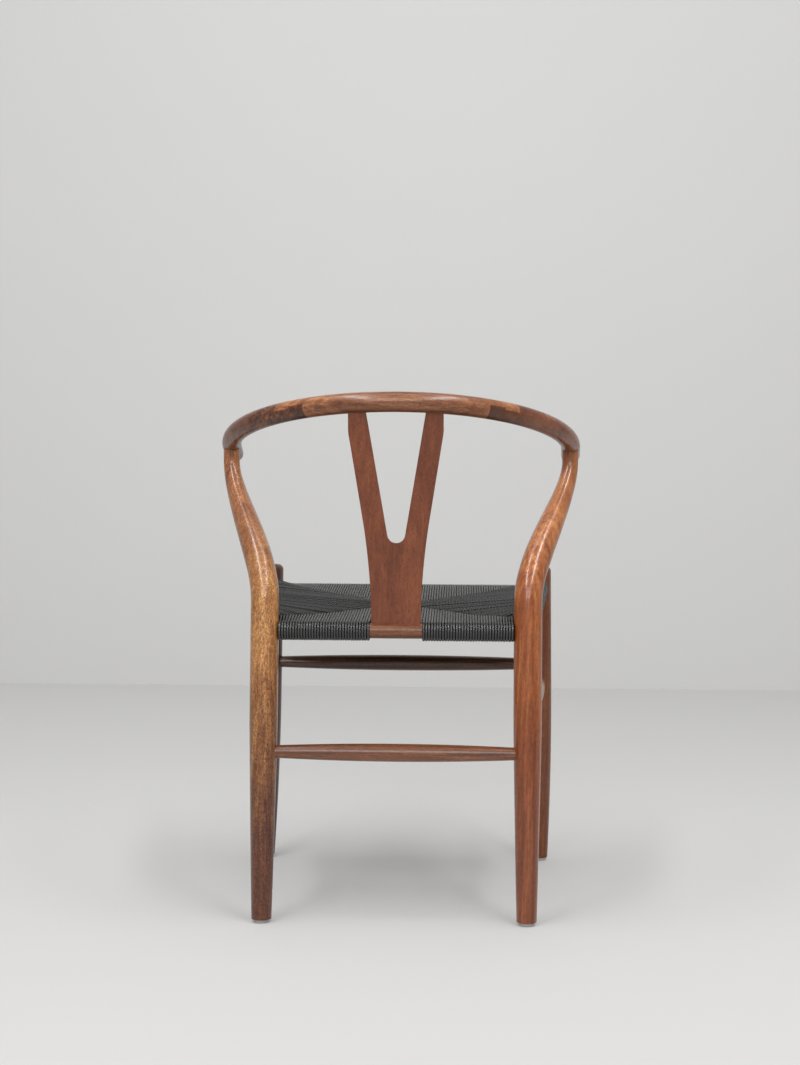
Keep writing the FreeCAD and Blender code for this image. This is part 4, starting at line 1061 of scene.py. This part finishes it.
floor_paint = plaster("floor_paint", (0.58, 0.576, 0.571), 0.012)
floor_tree = floor_paint.node_tree
floor_shader = floor_tree.nodes["Principled BSDF"]
floor_tone = floor_shader.inputs["Base Color"].links[0].from_socket
ray = floor_tree.nodes.new("ShaderNodeLightPath")
seen = sum_of(floor_tree, "MAXIMUM", ray.outputs["Is Camera Ray"], ray.outputs["Is Glossy Ray"])
seen = sum_of(floor_tree, "MAXIMUM", seen, ray.outputs["Is Transmission Ray"])
seen_tone = multiply(floor_tree, floor_tone, seen, (SEEN_SHADE, SEEN_SHADE, SEEN_SHADE, 1))
floor_tree.links.new(seen_tone, floor_shader.inputs["Base Color"])
seen_glow = sum_of(floor_tree, "MULTIPLY", seen, SEEN_GLOW)
floor_tree.links.new(seen_glow, floor_shader.inputs["Emission Strength"])
floor_shader.inputs["Emission Color"].default_value = (1, 0.995, 0.985, 1)
lying = Matrix.Translation((0, WALL_Y + FLOOR_DEEP / 2, 0))
floor = pane("floor", lying @ Matrix.Diagonal((ROOM_WIDE, FLOOR_DEEP, 1, 1)), floor_paint)
wall_paint = plaster("wall_paint", (0.66, 0.658, 0.648), 0.01)
upright = Matrix.Translation((0, WALL_Y, WALL_TALL / 2)) @ Matrix.Rotation(-math.pi / 2, 4, "X")
wall = pane("wall", upright @ Matrix.Diagonal((ROOM_WIDE, WALL_TALL, 1, 1)), wall_paint)


# Light: an even room, two long soft strips overhead for the highlights on the bent legs, a large soft box
# behind the camera and one that washes the wall.
world = bpy.data.worlds.new("room_light")
bpy.context.scene.world = world
world.use_nodes = True
world.node_tree.nodes["Background"].inputs["Color"].default_value = (1, 1, 1, 1)
world.node_tree.nodes["Background"].inputs["Strength"].default_value = 0.46


def soft_box(name, place, aim, wide, tall, power):
    lamp = bpy.data.lights.new(name, "AREA")
    lamp.shape = "RECTANGLE"
    lamp.size = wide
    lamp.size_y = tall
    lamp.energy = power
    box = bpy.data.objects.new(name, lamp)
    bpy.context.collection.objects.link(box)
    box.location = place
    box.rotation_euler = (Vector(aim) - Vector(place)).to_track_quat("-Z", "Y").to_euler()


soft_box("left_strip", place=(1.0, 1.3, 2.9), aim=(1.0, 0.3, 0.5), wide=0.4, tall=2.4, power=39)
soft_box("right_strip", place=(-1.05, 1.3, 2.9), aim=(-1.05, 0.3, 0.5), wide=0.4, tall=2.4, power=43)
soft_box("near_box", place=(0.3, 4.6, 2.4), aim=(0, 0, 0.5), wide=3.0, tall=2.0, power=70)
soft_box("wall_box", place=(0, -0.2, 3.9), aim=(0, WALL_Y, 0.2), wide=3.2, tall=0.8, power=26)


# Camera: behind the chair at about seat-back height, looking slightly down, as in the photograph.
CAMERA_PLACE = (-0.0903, 2.8240, 0.6530)
CAMERA_YAW = math.radians(1.846)
CAMERA_PITCH = math.radians(2.014)
CAMERA_ROLL = math.radians(0.32)
view = bpy.data.cameras.new("view")
view.sensor_width = 36
view.lens = 62.18
camera = bpy.data.objects.new("view", view)
bpy.context.collection.objects.link(camera)
ahead = Vector((math.sin(CAMERA_YAW) * math.cos(CAMERA_PITCH), -math.cos(CAMERA_YAW) * math.cos(CAMERA_PITCH),
                -math.sin(CAMERA_PITCH)))
level_turn = ahead.to_track_quat("-Z", "Y").to_matrix().to_4x4()
camera.matrix_world = (Matrix.Translation(CAMERA_PLACE) @ level_turn
                       @ Matrix.Rotation(CAMERA_ROLL, 4, "Z"))
bpy.context.scene.camera = camera
bpy.context.scene.view_settings.view_transform = "Standard"
